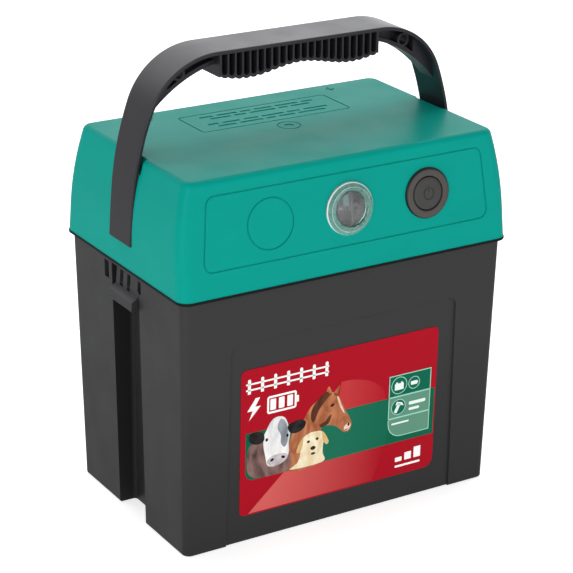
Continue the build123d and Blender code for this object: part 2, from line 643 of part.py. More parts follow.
def lamp_holder():
    """A dark cup in the lens barrel with a partition between the two lamps."""
    holder = disc(FRONT, 0, 0, LENS_FOOT, LENS_FOOT + 2.4, 11.5)
    holder += ring(FRONT, 0, 0, LENS_FOOT, -1.5, 11.5, 10.6)
    holder += FRONT * Pos(PARTITION_U, 0, LENS_FOOT / 2 - 0.5) * Box(1.2, 21.4, -LENS_FOOT - 1.6)
    for u in LAMP_U:
        holder -= disc(FRONT, u, 0, LENS_FOOT - 1, 0, LAMP_R + 0.05)
    return holder


def lamps():
    """Two round lamps on wire legs that stand on the circuit board."""
    made = []
    for u in LAMP_U:
        body = disc(FRONT, u, 0, LENS_FOOT + 0.6, -4.6, LAMP_R) + FRONT * Pos(u, 0, -4.6) * Sphere(LAMP_R)
        legs = [disc(FRONT, u + du, 0, BOARD_FACE, LENS_FOOT + 0.8, 0.3) for du in (-1.27, 1.27)]
        made.append(body + legs[0] + legs[1])
    return group(made)


# ---------------------------------------------------------------- push button

def button_bezel():
    """A beaded ring that snaps into the panel and guides the button."""
    profile = [(10.5, -8), (11.9, -8), (11.9, 0), (15.6, 0), (15.6, 0.7), (15.0, 1.4), (13.9, 1.75),
               (12.4, 1.85), (11.2, 1.75), (10.7, 1.45), (10.5, 0.9)]
    bezel = turned(FRONT, BUTTON_U, 0, profile)
    return bezel - ring(FRONT, BUTTON_U, 0, -9, -3.3, 11.4, 10.4)


def button_cap():
    """The soft-topped button: a shallow dome, a retaining flange and a stem."""
    profile = [(0, 2.3), (5, 2.2), (8.6, 1.9), (9.8, 1.45), (10.15, 0.8), (10.15, -3.5), (11.1, -3.5),
               (11.1, -5), (9.0, -5), (9.0, -2), (2.6, -2), (2.6, -9), (0, -9)]
    cap = turned(FRONT, BUTTON_U, 0, profile)
    mark = ring(FRONT, BUTTON_U, 0, 1.8, 4, 3.9, 3.1)
    mark -= FRONT * Pos(BUTTON_U, 4, 2) * Box(2.6, 4, 4)
    mark += FRONT * Pos(BUTTON_U, 3.2, 2.9) * Box(0.8, 3.8, 2.2)
    return cap - mark


def button_spring():
    """The coil under the button."""
    return FRONT * Pos(BUTTON_U, 0, SWITCH_TOP + 0.4) * coil(-2.4 - SWITCH_TOP - 0.4, 2.0, 4.6, 0.35)


def switch_body():
    """The press switch on the circuit board."""
    body = FRONT * Pos(BUTTON_U, 0, (SWITCH_TOP + BOARD_FACE) / 2) * Box(14, 14, SWITCH_TOP - BOARD_FACE)
    body -= disc(FRONT, BUTTON_U, 0, SWITCH_TOP - 6, SWITCH_TOP + 1, 2.08)
    for du in (-SWITCH_PIN, SWITCH_PIN):
        for dv in (-SWITCH_PIN, SWITCH_PIN):
            body += disc(FRONT, BUTTON_U + du, dv, BOARD_FACE - 3, BOARD_FACE + 0.2, 0.4)
    return body


def switch_plunger():
    """The switch's own plunger, under the button's stem."""
    return disc(FRONT, BUTTON_U, 0, SWITCH_TOP - 2, -9, 2.0)


# ---------------------------------------------------------------- circuit board

def board_block(u, v, width, height, depth):
    """A block that stands on the board's rear face."""
    return FRONT * Pos(u, v, BOARD_BACK - depth / 2) * Box(width, height, depth)


def circuit_board():
    """The board with its screw holes and the holes for legs."""
    board = FRONT * Pos(0, 0, BOARD_FACE - BOARD_THICK / 2) * Box(*BOARD_SIZE, BOARD_THICK)
    for u in (-BOARD_HOLE[0], BOARD_HOLE[0]):
        for v in (-BOARD_HOLE[1], BOARD_HOLE[1]):
            board -= disc(FRONT, u, v, BOARD_BACK - 1, BOARD_FACE + 1, BOARD_SCREW_R + 0.2)
    for du in (-SWITCH_PIN, SWITCH_PIN):
        for dv in (-SWITCH_PIN, SWITCH_PIN):
            board -= disc(FRONT, BUTTON_U + du, dv, BOARD_BACK - 1, BOARD_FACE + 1, 0.45)
    return board


def board_screws():
    """Four screws that hold the board on its pillars."""
    made = []
    for u in (-BOARD_HOLE[0], BOARD_HOLE[0]):
        for v in (-BOARD_HOLE[1], BOARD_HOLE[1]):
            head = disc(FRONT, u, v, BOARD_BACK - 2.0, BOARD_BACK, 2.8)
            made.append(head + disc(FRONT, u, v, BOARD_BACK, BOARD_FACE + 8, BOARD_SCREW_R))
    return group(made)


def control_chip():
    """A small dual-in-line chip with its legs."""
    chip = board_block(-8, 10, 10, 6.4, 4.0)
    for i in range(4):
        for side in (-1, 1):
            chip += board_block(-8 - 3.81 + 2.54 * i, 10 + side * 3.7, 0.6, 1.2, 2.0)
    return chip


def electrolytic_capacitors():
    """Three can capacitors standing on the board."""
    cans = [disc(FRONT, u, v, BOARD_BACK - length, BOARD_BACK, radius)
            for u, v, radius, length in ((-54, -8, 6.3, 20), (-38, -10, 5.0, 16), (-24, -10, 4.0, 12))]
    return group([fillet(can.edges().filter_by(GeomType.CIRCLE), 0.6) for can in cans])


def resistors():
    """A row of bodied resistors with their wires."""
    made = []
    for i in range(5):
        u = 8 + 7 * i
        body = FRONT * Pos(u, 11, BOARD_BACK - 2.2) * Rot(90, 0, 0) * Cylinder(1.3, 7)
        wire = FRONT * Pos(u, 11, BOARD_BACK - 2.2) * Rot(90, 0, 0) * Cylinder(0.35, 11)
        feet = [disc(FRONT, u, 11 + dv, BOARD_BACK, BOARD_BACK - 2.4, 0.35) for dv in (-5.2, 5.2)]
        made.append(body + wire + feet[0] + feet[1])
    return group(made)


def heat_sink():
    """A finned plate that cools the thyristor."""
    plate = board_block(66.5, -3, 1.6, 24, 22)
    for i in range(4):
        plate += board_block(69.0, -12 + 6 * i, 4.0, 1.2, 22)
    return plate


def thyristor():
    """The discharge thyristor, flat against its heat sink."""
    body = FRONT * Pos(63.4, -3, BOARD_BACK - 12) * Box(4.4, 10, 9)
    tab = FRONT * Pos(65.2, -3, BOARD_BACK - 16) * Box(0.9, 10, 12)
    legs = [FRONT * Pos(63.4, -3 + dv, BOARD_BACK - 4) * Box(0.7, 0.9, 8) for dv in (-2.54, 0, 2.54)]
    return body + tab + legs[0] + legs[1] + legs[2]


def converter_coil():
    """The small charging transformer: a wound drum between two ferrite cheeks."""
    low = disc(FRONT, 30, -8, BOARD_BACK - 3, BOARD_BACK, 9.5)
    high = disc(FRONT, 30, -8, BOARD_BACK - 18, BOARD_BACK - 15, 9.5)
    core = disc(FRONT, 30, -8, BOARD_BACK - 15, BOARD_BACK - 3, 4)
    return low + high + core


def converter_winding():
    """The wire on the drum."""
    return ring(FRONT, 30, -8, BOARD_BACK - 14.9, BOARD_BACK - 3.1, 8.2, 4.05)


# ---------------------------------------------------------------- pulse transformer and capacitor

def transformer_core():
    """Stacked iron plates with two windows round a middle leg, on a bracket."""
    x, y = CORE
    core = Pos(x, y, CORE_LOW + CORE_SIZE[2] / 2) * Box(*CORE_SIZE)
    window = (CORE_SIZE[0] - 4 * LEG) / 2
    for side in (-1, 1):
        offset_x = side * (LEG + window / 2)
        core -= Pos(x + offset_x, y, CORE_LOW + CORE_SIZE[2] / 2) * Box(window, 40, CORE_SIZE[2] - 2 * LEG)
    return core


def transformer_bracket():
    """The steel strap that holds the core down on the tray."""
    x, y = CORE
    half = CORE_SIZE[0] / 2
    top = CORE_LOW + CORE_SIZE[2]
    strap = slab(x - half - 1.2, x + half + 1.2, y - 6, y + 6, top + 0.05, top + 1.2)
    for side in (-1, 1):
        leg_x = x + side * (half + 0.65)
        strap += slab(leg_x - 0.55, leg_x + 0.55, y - 6, y + 6, LID_BASE, top + 1.2)
        foot_x = x + side * (half + 6)
        strap += slab(foot_x - 5.9, foot_x + 5.9, y - 6, y + 6, LID_BASE, LID_BASE + 1.2)
        strap -= Pos(x + side * (half + 7), y, LID_BASE - 1) * extrude(Circle(1.9), 4)
    return strap - slab(x - half - 0.05, x + half + 0.05, y - 7, y + 7, LID_BASE - 1, top)


def transformer_bobbin():
    """The plastic former on the middle leg."""
    x, y = CORE
    low, high = CORE_LOW + LEG + 0.2, CORE_LOW + CORE_SIZE[2] - LEG - 0.2
    former = slab(x - LEG - 1.2, x + LEG + 1.2, y - 11.5, y + 11.5, low, high)
    for z0, z1 in ((low, low + 1.4), (high - 1.4, high)):
        former += slab(x - LEG - 8.6, x + LEG + 8.6, y - 19, y + 19, z0, z1)
    return former - slab(x - LEG - 0.1, x + LEG + 0.1, y - 10.2, y + 10.2, low - 1, high + 1)


def transformer_winding():
    """The wound wire round the former."""
    x, y = CORE
    low, high = CORE_LOW + LEG + 1.7, CORE_LOW + CORE_SIZE[2] - LEG - 1.7
    coil_block = round_slab(x - LEG - 7.8, x + LEG + 7.8, y - 18, y + 18, low, high, 7)
    return coil_block - slab(x - LEG - 1.25, x + LEG + 1.25, y - 11.55, y + 11.55, low - 1, high + 1)


def storage_capacitor():
    """The large film capacitor that holds each pulse."""
    body = slab(22, 70, 12, 42, LID_BASE, LID_BASE + 36)
    return fillet(body.edges().filter_by(Axis.Z), 2.5)


# ---------------------------------------------------------------- rear terminals

def stud(u):
    """A stud through the rear wall that the knob runs on, with a thinner tip for the fence clip."""
    body = disc(REAR, u, 0, STUD_IN, TIP_LOW, STUD_R) + disc(REAR, u, 0, TIP_LOW, STUD_OUT, TIP_R)
    return chamfer(body.edges().filter_by(GeomType.CIRCLE).sort_by(Axis.Y)[-1], 0.5)


def terminal_washers(u):
    """A flat washer inside the clamp gap and one behind the wall."""
    outer = ring(REAR, u, 0, 0, 1.4, 8.0, STUD_R + 0.02)
    inner = ring(REAR, u, 0, -WALL - 1.5, -WALL - 0.1, 7.0, STUD_R + 0.02)
    return group([outer, inner])


def terminal_nuts():
    """The hexagon nut that holds each stud from inside the lid."""
    made = []
    for u in (-TERMINAL_X, TERMINAL_X):
        plan = RegularPolygon(5.6, 6) - Circle(STUD_R + 0.02)
        made.append(extrude(REAR * Pos(u, 0, NUT_SEAT) * plan, 4.0))
    return group(made)


def knob(u):
    """A lobed clamping knob with a washer face."""
    plan = Circle(KNOB_R)
    for k in range(10):
        plan -= Rot(0, 0, 36 * k) * Pos(KNOB_R + 1, 0) * Circle(1.9)
    body = extrude(REAR * Pos(u, 0, KNOB_LOW + 1.6) * plan, KNOB_HIGH - KNOB_LOW - 1.6)
    body += disc(REAR, u, 0, KNOB_LOW, KNOB_LOW + 1.6, 8.4)
    body += disc(REAR, u, 0, KNOB_HIGH, KNOB_HIGH + 1.2, 6.5)
    return body - disc(REAR, u, 0, KNOB_LOW - 1, KNOB_HIGH + 3, STUD_R + 0.05)


def rear_point(u, height):
    """A point on a terminal's axis."""
    return tuple(REAR.from_local_coords((u, 0, height)))


def terminal_leads():
    """High-voltage leads from the winding to the two studs."""
    x, y = CORE
    start = rear_point(-TERMINAL_X, -14.0)
    earth = [start, (start[0], start[1] - 6, start[2]), (x - 6, y + 15, 214.5), (x - 6, y + 15, LEAD_END)]
    finish = rear_point(TERMINAL_X, -14.0)
    fence = [finish, (finish[0], finish[1] - 6, finish[2]), (finish[0] - 14, 46, 214), (10, 42, 218),
             (x + 6, y + 15, 214.5), (x + 6, y + 15, LEAD_END)]
    return group([tube(earth, [2.4, 4.0], 1.2), tube(fence, [2.6, 8, 10, 4], 1.2)])


def lead_eyes():
    """Eyelets that hold the leads on the studs' inner ends."""
    made = []
    for u in (-TERMINAL_X, TERMINAL_X):
        eye = ring(REAR, u, 0, -WALL - 7.0, -WALL - 5.7, 5.0, STUD_R + 0.02)
        made.append(eye)
        made.append(disc(REAR, u, 0, -13.7, -12.05, 2.6))
    return group(made)


# ---------------------------------------------------------------- battery leads

def battery_leads():
    """Two leads from the snap connectors, up through the tray, to the circuit board."""
    made = []
    for side in (-1, 1):
        x = side * LEAD_GAP
        stop = FRONT.from_local_coords((x, -6, BOARD_BACK - 0.6))
        made.append(tube([(side * (POST_X - 6.6), 0, CONNECTOR_Z), (x, 0, CONNECTOR_Z), (x, 0, 186),
                          (x, stop.Y + 14, 196.5), tuple(stop)], [7.5, 10, 6], LEAD_R))
    return group(made)


def battery_connectors():
    """Snap connectors that push down on the battery posts."""
    made = []
    for side in (-1, 1):
        body = Pos(side * POST_X, 0, COVER_TOP + 0.4) * extrude(RectangleRounded(13, 11, 2), 7.4)
        body -= Pos(side * POST_X, 0, COVER_TOP - 1) * extrude(Circle(3.58), POST_TOP - COVER_TOP + 1.2)
        made.append(body)
    return group(made)


def lead_grommet():
    """A rubber grommet in the tray."""
    low, high, neck = FLANGE_LOW - 0.05, LID_BASE + 0.05, GROMMET_R - 0.05
    profile = [(4.0, low - 1.3), (7.4, low - 1.3), (7.4, low), (neck, low), (neck, high), (7.0, high),
               (7.0, high + 1.4), (4.0, high + 1.4)]
    return revolve(make_face(Plane.XZ * Polyline(*profile, close=True)), Axis.Z)


# ---------------------------------------------------------------- write the nodes

def main():
    for side, turn in (("right", lambda shape: shape), ("left", mirrored)):
        save(f"{side}_latch", turn(latch()))
        save(f"{side}_latch_pin", turn(latch_pin()))
        save(f"{side}_latch_spring", turn(latch_spring()))
    for name, u in (("fence", TERMINAL_X), ("earth", -TERMINAL_X)):
        save(f"{name}_stud", stud(u))
        save(f"{name}_washers", terminal_washers(u))
        save(f"{name}_knob", knob(u))
    makers = (battery_box, front_label, battery_case, battery_cover, battery_posts, lid_shell, base_tray,
              tray_screws, carry_handle, indicator_lens, lens_seal, lens_nut, lamp_holder, lamps,
              button_bezel, button_cap, button_spring, switch_body, switch_plunger, circuit_board,
              board_screws, control_chip, electrolytic_capacitors, resistors, heat_sink, thyristor,
              converter_coil, converter_winding, transformer_core, transformer_bracket,
              transformer_bobbin, transformer_winding, storage_capacitor, terminal_nuts, lead_eyes,
              terminal_leads, battery_leads, battery_connectors, lead_grommet)
    for maker in makers:
        save(maker.__name__, maker())
    save("rim_seal", seal_ring(0))


main()
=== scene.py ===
# The looks of a battery fence energizer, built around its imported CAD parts.
# Metres, in the CAD frame: X along the long side, -Y the front, +Z up, origin under the housing.

import json
import math

import bmesh
import bpy
from mathutils import Matrix, Vector


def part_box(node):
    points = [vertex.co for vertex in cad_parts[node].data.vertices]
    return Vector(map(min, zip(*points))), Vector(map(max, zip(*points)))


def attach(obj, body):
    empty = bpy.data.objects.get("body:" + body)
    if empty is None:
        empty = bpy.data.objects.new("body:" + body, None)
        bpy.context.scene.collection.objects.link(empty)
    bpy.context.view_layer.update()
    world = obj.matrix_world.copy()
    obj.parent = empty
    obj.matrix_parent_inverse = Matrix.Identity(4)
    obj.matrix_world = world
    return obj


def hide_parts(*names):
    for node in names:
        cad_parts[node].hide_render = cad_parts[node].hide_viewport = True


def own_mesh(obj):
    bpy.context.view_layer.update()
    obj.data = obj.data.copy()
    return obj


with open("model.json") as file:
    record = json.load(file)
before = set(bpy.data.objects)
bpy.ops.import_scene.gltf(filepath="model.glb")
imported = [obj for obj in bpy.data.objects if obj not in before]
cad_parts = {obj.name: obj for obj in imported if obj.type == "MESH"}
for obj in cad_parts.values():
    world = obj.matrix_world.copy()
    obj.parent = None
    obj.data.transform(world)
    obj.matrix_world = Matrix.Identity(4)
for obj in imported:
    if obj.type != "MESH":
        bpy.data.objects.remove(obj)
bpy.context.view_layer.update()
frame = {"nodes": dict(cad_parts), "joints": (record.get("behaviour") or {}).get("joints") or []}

MM = 0.001
UP = Vector((0, 0, 1))
JOINTS = {joint["name"]: joint for joint in frame["joints"]}
PANEL_OUT = -Vector(JOINTS["button_press"]["axis"])


# ---------------------------------------------------------------- colours and node steps

def srgb(red, green, blue):
    """A display colour from 0 to 255, as the linear colour that a shader takes."""
    def linear(value):
        value /= 255
        return value / 12.92 if value <= 0.04045 else ((value + 0.055) / 1.055) ** 2.4
    return (linear(red), linear(green), linear(blue), 1.0)


def scaled(colour, factor):
    """A colour made lighter or darker."""
    return tuple(min(channel * factor, 1.0) for channel in colour[:3]) + (1.0,)


class Paint:
    """One Principled material and the node steps that the finishes share."""

    def __init__(self, name, **sockets):
        self.material = bpy.data.materials.new(name)
        self.material.use_nodes = True
        self.nodes = self.material.node_tree.nodes
        self.links = self.material.node_tree.links
        self.shader = self.nodes["Principled BSDF"]
        for socket, value in sockets.items():
            self.shader.inputs[socket.replace("_", " ")].default_value = value
        self.place = self.nodes.new("ShaderNodeTexCoord").outputs["Object"]
        self.normal = None

    def node(self, kind, **inputs):
        """A new node with its inputs set or linked; underscores stand for spaces."""
        made = self.nodes.new(kind)
        for name, value in inputs.items():
            self.feed(made.inputs[name.replace("_", " ")], value)
        return made

    def feed(self, socket, value):
        """Link an output to a socket, or set a constant."""
        if isinstance(value, bpy.types.NodeSocket):
            self.links.new(value, socket)
        else:
            socket.default_value = value

    def stretched(self, x, y, z):
        """Object coordinates with each axis scaled."""
        return self.node("ShaderNodeMapping", Vector=self.place, Scale=(x, y, z)).outputs[0]

    def noise(self, scale, detail=2.0, place=None, distortion=0.0):
        """Soft random variation from 0 to 1."""
        made = self.node("ShaderNodeTexNoise", Vector=place or self.place, Scale=scale,
                         Detail=detail, Distortion=distortion)
        return made.outputs[0]

    def cells(self, scale, feature="F1", place=None):
        """Distance to scattered cell centres or borders."""
        made = self.node("ShaderNodeTexVoronoi", Vector=place or self.place, Scale=scale)
        made.feature = feature
        return made.outputs["Distance"]

    def waves(self, scale, axis, distortion=0.0, profile="SIN"):
        """Parallel bands across one axis."""
        made = self.node("ShaderNodeTexWave", Vector=self.place, Scale=scale, Distortion=distortion)
        made.bands_direction = axis
        made.wave_profile = profile
        return made.outputs[1]

    def along(self, axis):
        """One coordinate of the point."""
        return self.node("ShaderNodeSeparateXYZ", Vector=self.place).outputs["XYZ".index(axis)]

    def away(self, centre):
        """Distance in millimetres from a fixed point."""
        made = self.nodes.new("ShaderNodeVectorMath")
        made.operation = "DISTANCE"
        self.feed(made.inputs[0], self.place)
        self.feed(made.inputs[1], centre)
        return self.math("MULTIPLY", made.outputs["Value"], 1 / MM)

    def math(self, operation, first, second=0.0):
        """One arithmetic step."""
        made = self.nodes.new("ShaderNodeMath")
        made.operation = operation
        self.feed(made.inputs[0], first)
        self.feed(made.inputs[1], second)
        return made.outputs[0]

    def span(self, value, from_low, from_high, low=0.0, high=1.0):
        """Map one range to another, clamped."""
        made = self.nodes.new("ShaderNodeMapRange")
        for socket, number in zip(made.inputs, (value, from_low, from_high, low, high)):
            self.feed(socket, number)
        return made.outputs[0]

    def mix(self, share, first, second):
        """Between two colours."""
        made = self.nodes.new("ShaderNodeMix")
        made.data_type = "RGBA"
        self.feed(made.inputs[0], share)
        self.feed(made.inputs[6], first)
        self.feed(made.inputs[7], second)
        return made.outputs[2]

    def soften(self, radius):
        """Round the edges' shading, and return how near an edge the point is."""
        made = self.nodes.new("ShaderNodeBevel")
        made.samples = 4
        made.inputs["Radius"].default_value = radius
        self.normal = made.outputs[0]
        flat = self.nodes.new("ShaderNodeNewGeometry").outputs["Normal"]
        dot = self.nodes.new("ShaderNodeVectorMath")
        dot.operation = "DOT_PRODUCT"
        self.feed(dot.inputs[0], self.normal)
        self.feed(dot.inputs[1], flat)
        return self.span(dot.outputs["Value"], 0.97, 0.75)

    def bump(self, height, depth, strength=1.0):
        """Add relief of that depth in metres to what is there."""
        made = self.node("ShaderNodeBump", Height=height, Distance=depth, Strength=strength)
        if self.normal is not None:
            self.feed(made.inputs["Normal"], self.normal)
        self.normal = made.outputs[0]

    def rubbed_and_highlit(self, near_edge, low, high):
        """How far an edge is made pale, in patches: partly wear, partly a painted highlight."""
        return self.math("MULTIPLY", near_edge, self.span(self.noise(120, 3), 0.35, 0.7, low, high))

    def grained(self, fine, relief, rough):
        """Spark-eroded grain over a slight unevenness; gives the uneven gloss."""
        self.bump(fine, relief * MM)
        self.bump(self.noise(60, 2), 0.05 * MM, 0.25)
        return self.span(self.noise(45, 4), 0.3, 0.7, rough - 0.04, rough + 0.05)

    def done(self, colour=None, roughness=None):
        """Link what was made to the shader and give the material."""
        if colour is not None:
            self.feed(self.shader.inputs["Base Color"], colour)
        if roughness is not None:
            self.feed(self.shader.inputs["Roughness"], roughness)
        if self.normal is not None:
            self.feed(self.shader.inputs["Normal"], self.normal)
        return self.material


# ---------------------------------------------------------------- finishes

TEAL = srgb(0, 149, 136)
CHARCOAL = srgb(45, 45, 46)
HANDLE_GREY = srgb(38, 36, 41)
LABEL_RED = srgb(166, 0, 26)
LABEL_GREEN = srgb(0, 97, 71)
WHITE = srgb(246, 246, 244)
PALE_GREEN = srgb(152, 208, 186)

GRAIN = 1900
RELIEF = 0.012
MOTTLE = 0.005

# The housing's painted shade: how dark its foot is, and the height in metres where its own colour is reached.
HOUSING_FOOT_SHADE = 0.52
HOUSING_SHADE_TOP = 0.11

# The painted shade on the end channels' side walls, in metres: each pair is where it starts and is full.
CHANNEL_SHADE_NEAR = (0.0150, 0.0165)
CHANNEL_SHADE_FAR = (0.0175, 0.0173)
CHANNEL_SHADE_DEEP = (0.097, 0.098)
CHANNEL_SHADE_BELOW = (0.163, 0.1615)

# Millimetres out of the panel, from the middle of the front of a round part's box to its face.
LENS_FACE = -3.6
BUTTON_FACE = -1.7

# Radii in millimetres: where the lens's rim turns milky, its painted highlight rings as (middle, half width,
# share), and the painted shade at the button's outer seam and in the groove round its cap, each pair from
# clear to full.
RIM_RADII = (11.0, 11.8)
RIM_MILK = 0.3
LENS_HIGHLIGHT_RINGS = ((11.4, 0.4, 0.45), (12.4, 0.25, 0.34), (13.6, 0.4, 0.6), (15.0, 0.3, 0.34), (15.9, 0.6, 0.85))
BUTTON_SEAM = (14.4, 15.2)
GROOVE_INNER = (9.9, 10.2)
GROOVE_OUTER = (10.9, 10.6)

# Heights in metres of the printed bands on the standing sleeves.
CAN_BAND = (0.186, 0.189)
RESISTOR_BAND = (0.2105, 0.2115)


def moulded(name, colour, rough, grain=GRAIN, relief=RELIEF, wear_and_highlight=1.5, **sockets):
    """Moulded plastic: spark-eroded grain, faint flow marks, uneven gloss, softened edges paled by wear and
    painted highlight.
    """
    paint = Paint(name, **sockets)
    near_edge = paint.soften(0.35 * MM)
    flow = paint.noise(16, 3, paint.stretched(1, 1, 2.4), distortion=0.6)
    fine = paint.noise(grain, 2)
    base = paint.mix(flow, scaled(colour, 0.93), scaled(colour, 1.07))
    base = paint.mix(paint.span(fine, 0.3, 0.7, 0.0, 0.10), base, scaled(colour, 0.72))
    # Edges paler: partly wear, partly a painted highlight.
    base = paint.mix(paint.rubbed_and_highlit(near_edge, 0.25, 0.8), base, scaled(colour, wear_and_highlight))
    return paint.done(base, paint.grained(fine, relief, rough))


def housing_skin(name, colour, rough):
    """The housing's moulded skin: painted shade low down, and painted shade on the end channels' side walls.
    """
    paint = Paint(name)
    near_edge = paint.soften(0.5 * MM)
    flow = paint.noise(16, 3, paint.stretched(1, 1, 2.4), distortion=0.6)
    fine = paint.noise(GRAIN, 2)
    # Painted shade: the colour darkens towards the housing's foot.
    tone = paint.mix(paint.span(paint.along("Z"), 0.0, HOUSING_SHADE_TOP, HOUSING_FOOT_SHADE), (0, 0, 0, 1), colour)
    base = paint.mix(flow, tone, paint.mix(0.12, tone, scaled(colour, 1.6)))
    base = paint.mix(paint.span(fine, 0.3, 0.7, 0.0, 0.10), base, scaled(colour, 0.72))
    # Edges paler: partly wear, partly a painted highlight.
    base = paint.mix(paint.rubbed_and_highlit(near_edge, 0.2, 0.6), base, scaled(colour, 1.5))
    # Painted shade: the end channels' side walls are darkened to near black, and their gloss made rougher.
    across = paint.math("ABSOLUTE", paint.along("Y"))
    wall = paint.math("MULTIPLY", paint.span(across, *CHANNEL_SHADE_NEAR), paint.span(across, *CHANNEL_SHADE_FAR))
    deep = paint.span(paint.math("ABSOLUTE", paint.along("X")), *CHANNEL_SHADE_DEEP)
    below = paint.span(paint.along("Z"), *CHANNEL_SHADE_BELOW)
    channel_shade = paint.math("MULTIPLY", paint.math("MULTIPLY", wall, deep), below)
    base = paint.mix(paint.math("MULTIPLY", channel_shade, 0.85), base, srgb(6, 4, 4))
    gloss = paint.grained(fine, RELIEF, rough)
    return paint.done(base, paint.math("ADD", gloss, paint.math("MULTIPLY", channel_shade, 0.3)))


def rubber(name, colour):
    """Soft rubber with a faint bloom."""
    paint = Paint(name)
    paint.soften(0.25 * MM)
    bloom = paint.noise(90, 4)
    fine = paint.noise(2600, 2)
    base = paint.mix(paint.span(bloom, 0.4, 0.8, 0.0, 0.5), colour, scaled(colour, 1.8))
    paint.bump(fine, 0.01 * MM)
    return paint.done(base, paint.span(bloom, 0.3, 0.7, 0.52, 0.68))


def metal(name, colour, rough, tarnish, brushed=(1, 1, 1)):
    """Plated or bare metal: fine scratches, and tarnish in patches."""
    paint = Paint(name, Metallic=1.0)
    paint.soften(0.15 * MM)
    patches = paint.noise(220, 4)
    fine = paint.noise(900, 3, paint.stretched(*brushed))
    base = paint.mix(paint.span(patches, 0.42, 0.68), colour, tarnish)
    base = paint.mix(paint.span(fine, 0.4, 0.7, 0.0, 0.18), base, scaled(colour, 0.6))
    paint.bump(fine, 0.008 * MM)
    return paint.done(base, paint.span(patches, 0.3, 0.7, rough, rough + 0.16))


def wound(name, colour, rough, pitch, axis):
    """Wire laid in close turns under varnish."""
    paint = Paint(name, Metallic=0.75, Coat_Weight=0.5, Coat_Roughness=0.15)
    turns = paint.waves(math.pi / (10 * pitch * MM), axis, 0.3)
    patches = paint.noise(70, 3)
    base = paint.mix(turns, scaled(colour, 0.35), colour)
    base = paint.mix(paint.span(patches, 0.4, 0.7, 0.0, 0.35), base, scaled(colour, 0.5))
    paint.bump(turns, 0.25 * pitch * MM)
    return paint.done(base, paint.span(patches, 0.3, 0.7, rough, rough + 0.15))


def stacked(name, colour, pitch, axis):
    """Iron plates stacked side by side, with a little rust in patches."""
    paint = Paint(name, Metallic=0.8)
    plates = paint.waves(math.pi / (10 * pitch * MM), axis, 0.1, "SAW")
    rust = paint.noise(130, 5)
    base = paint.mix(plates, scaled(colour, 0.45), colour)
    base = paint.mix(paint.span(rust, 0.55, 0.72, 0.0, 0.8), base, srgb(92, 52, 32))
    paint.bump(plates, 0.12 * MM)
    return paint.done(base, paint.span(rust, 0.3, 0.7, 0.38, 0.66))


def circuit_laminate(name):
    """Green solder mask over copper tracks, on a woven board."""
    paint = Paint(name, Coat_Weight=0.3, Coat_Roughness=0.1)
    tracks = paint.span(paint.cells(210, "DISTANCE_TO_EDGE", paint.stretched(1, 1, 1.6)), 0.05, 0.09)
    weave = paint.noise(1400, 2, paint.stretched(1, 1, 4))
    base = paint.mix(tracks, srgb(38, 120, 62), srgb(12, 74, 38))
    base = paint.mix(paint.span(weave, 0.45, 0.7, 0.0, 0.2), base, srgb(8, 50, 28))
    paint.bump(tracks, 0.035 * MM, 0.8)
    return paint.done(base, paint.span(weave, 0.3, 0.7, 0.3, 0.42))


def sleeved(name, colour, accent, low, high):
    """Standing sleeve with a band of another colour between two heights."""
    paint = Paint(name)
    paint.soften(0.2 * MM)
    height = paint.along("Z")
    rise = paint.span(height, low - 0.1 * MM, low)
    fall = paint.span(height, high, high - 0.1 * MM)
    band = paint.math("MULTIPLY", rise, fall)
    wrinkle = paint.noise(160, 3, paint.stretched(1, 1, 0.2))
    base = paint.mix(band, colour, accent)
    base = paint.mix(paint.span(wrinkle, 0.4, 0.7, 0.0, 0.2), base, scaled(colour, 0.6))
    paint.bump(wrinkle, 0.06 * MM)
    return paint.done(base, paint.span(wrinkle, 0.3, 0.7, 0.24, 0.36))


def face_centre(node, height):
    """The middle of the front of a part's box, moved out of the panel by a height in millimetres."""
    low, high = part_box(node)
    front = Vector(((low.x + high.x) / 2, low.y, (low.z + high.z) / 2))
    return front + PANEL_OUT * height * MM


def clear_plastic(name):
    """Clear window plastic: painted highlight rings at its steps and walls, a little milky between them."""
    paint = Paint(name, IOR=1.45)
    radius = paint.away(face_centre("indicator_lens", LENS_FACE))
    swirl = paint.noise(320, 3, distortion=1.5)
    paint.bump(swirl, 0.02 * MM, 0.6)
    cloud = paint.span(radius, *RIM_RADII, 0.0, RIM_MILK)
    # Painted highlights: the rings are whiter and less clear where the lens's steps and walls would catch the
    # light.
    for middle, half, share in LENS_HIGHLIGHT_RINGS:
        rise = paint.span(radius, middle - half, middle)
        fall = paint.span(radius, middle + half, middle)
        highlight_ring = paint.math("MULTIPLY", paint.math("MULTIPLY", rise, fall), share)
        cloud = paint.math("MAXIMUM", cloud, highlight_ring)
    cloud = paint.math("ADD", cloud, paint.span(swirl, 0.4, 0.7, 0.0, 0.05))
    paint.feed(paint.shader.inputs["Transmission Weight"], paint.math("SUBTRACT", 0.97, cloud))
    tint = paint.mix(paint.span(cloud, 0.05, 0.2), (0.97, 0.98, 0.98, 1), srgb(96, 196, 178))
    base = paint.mix(paint.span(cloud, 0.25, 0.55), tint, srgb(244, 252, 250))
    return paint.done(base, paint.span(swirl, 0.3, 0.7, 0.04, 0.10))


def lamp_resin(name):
    """Diffusing resin: a grey lamp on the left and a darker one on the right."""
    paint = Paint(name, IOR=1.5)
    cloud = paint.noise(700, 3)
    low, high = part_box("lamps")
    middle = (low.x + high.x) / 2
    side = paint.span(paint.along("X"), middle - MM, middle + MM)
    base = paint.mix(side, srgb(84, 96, 96), srgb(52, 50, 54))
    base = paint.mix(paint.span(cloud, 0.3, 0.7, 0.0, 0.3), base, srgb(150, 160, 156))
    return paint.done(base, paint.span(cloud, 0.3, 0.7, 0.12, 0.24))


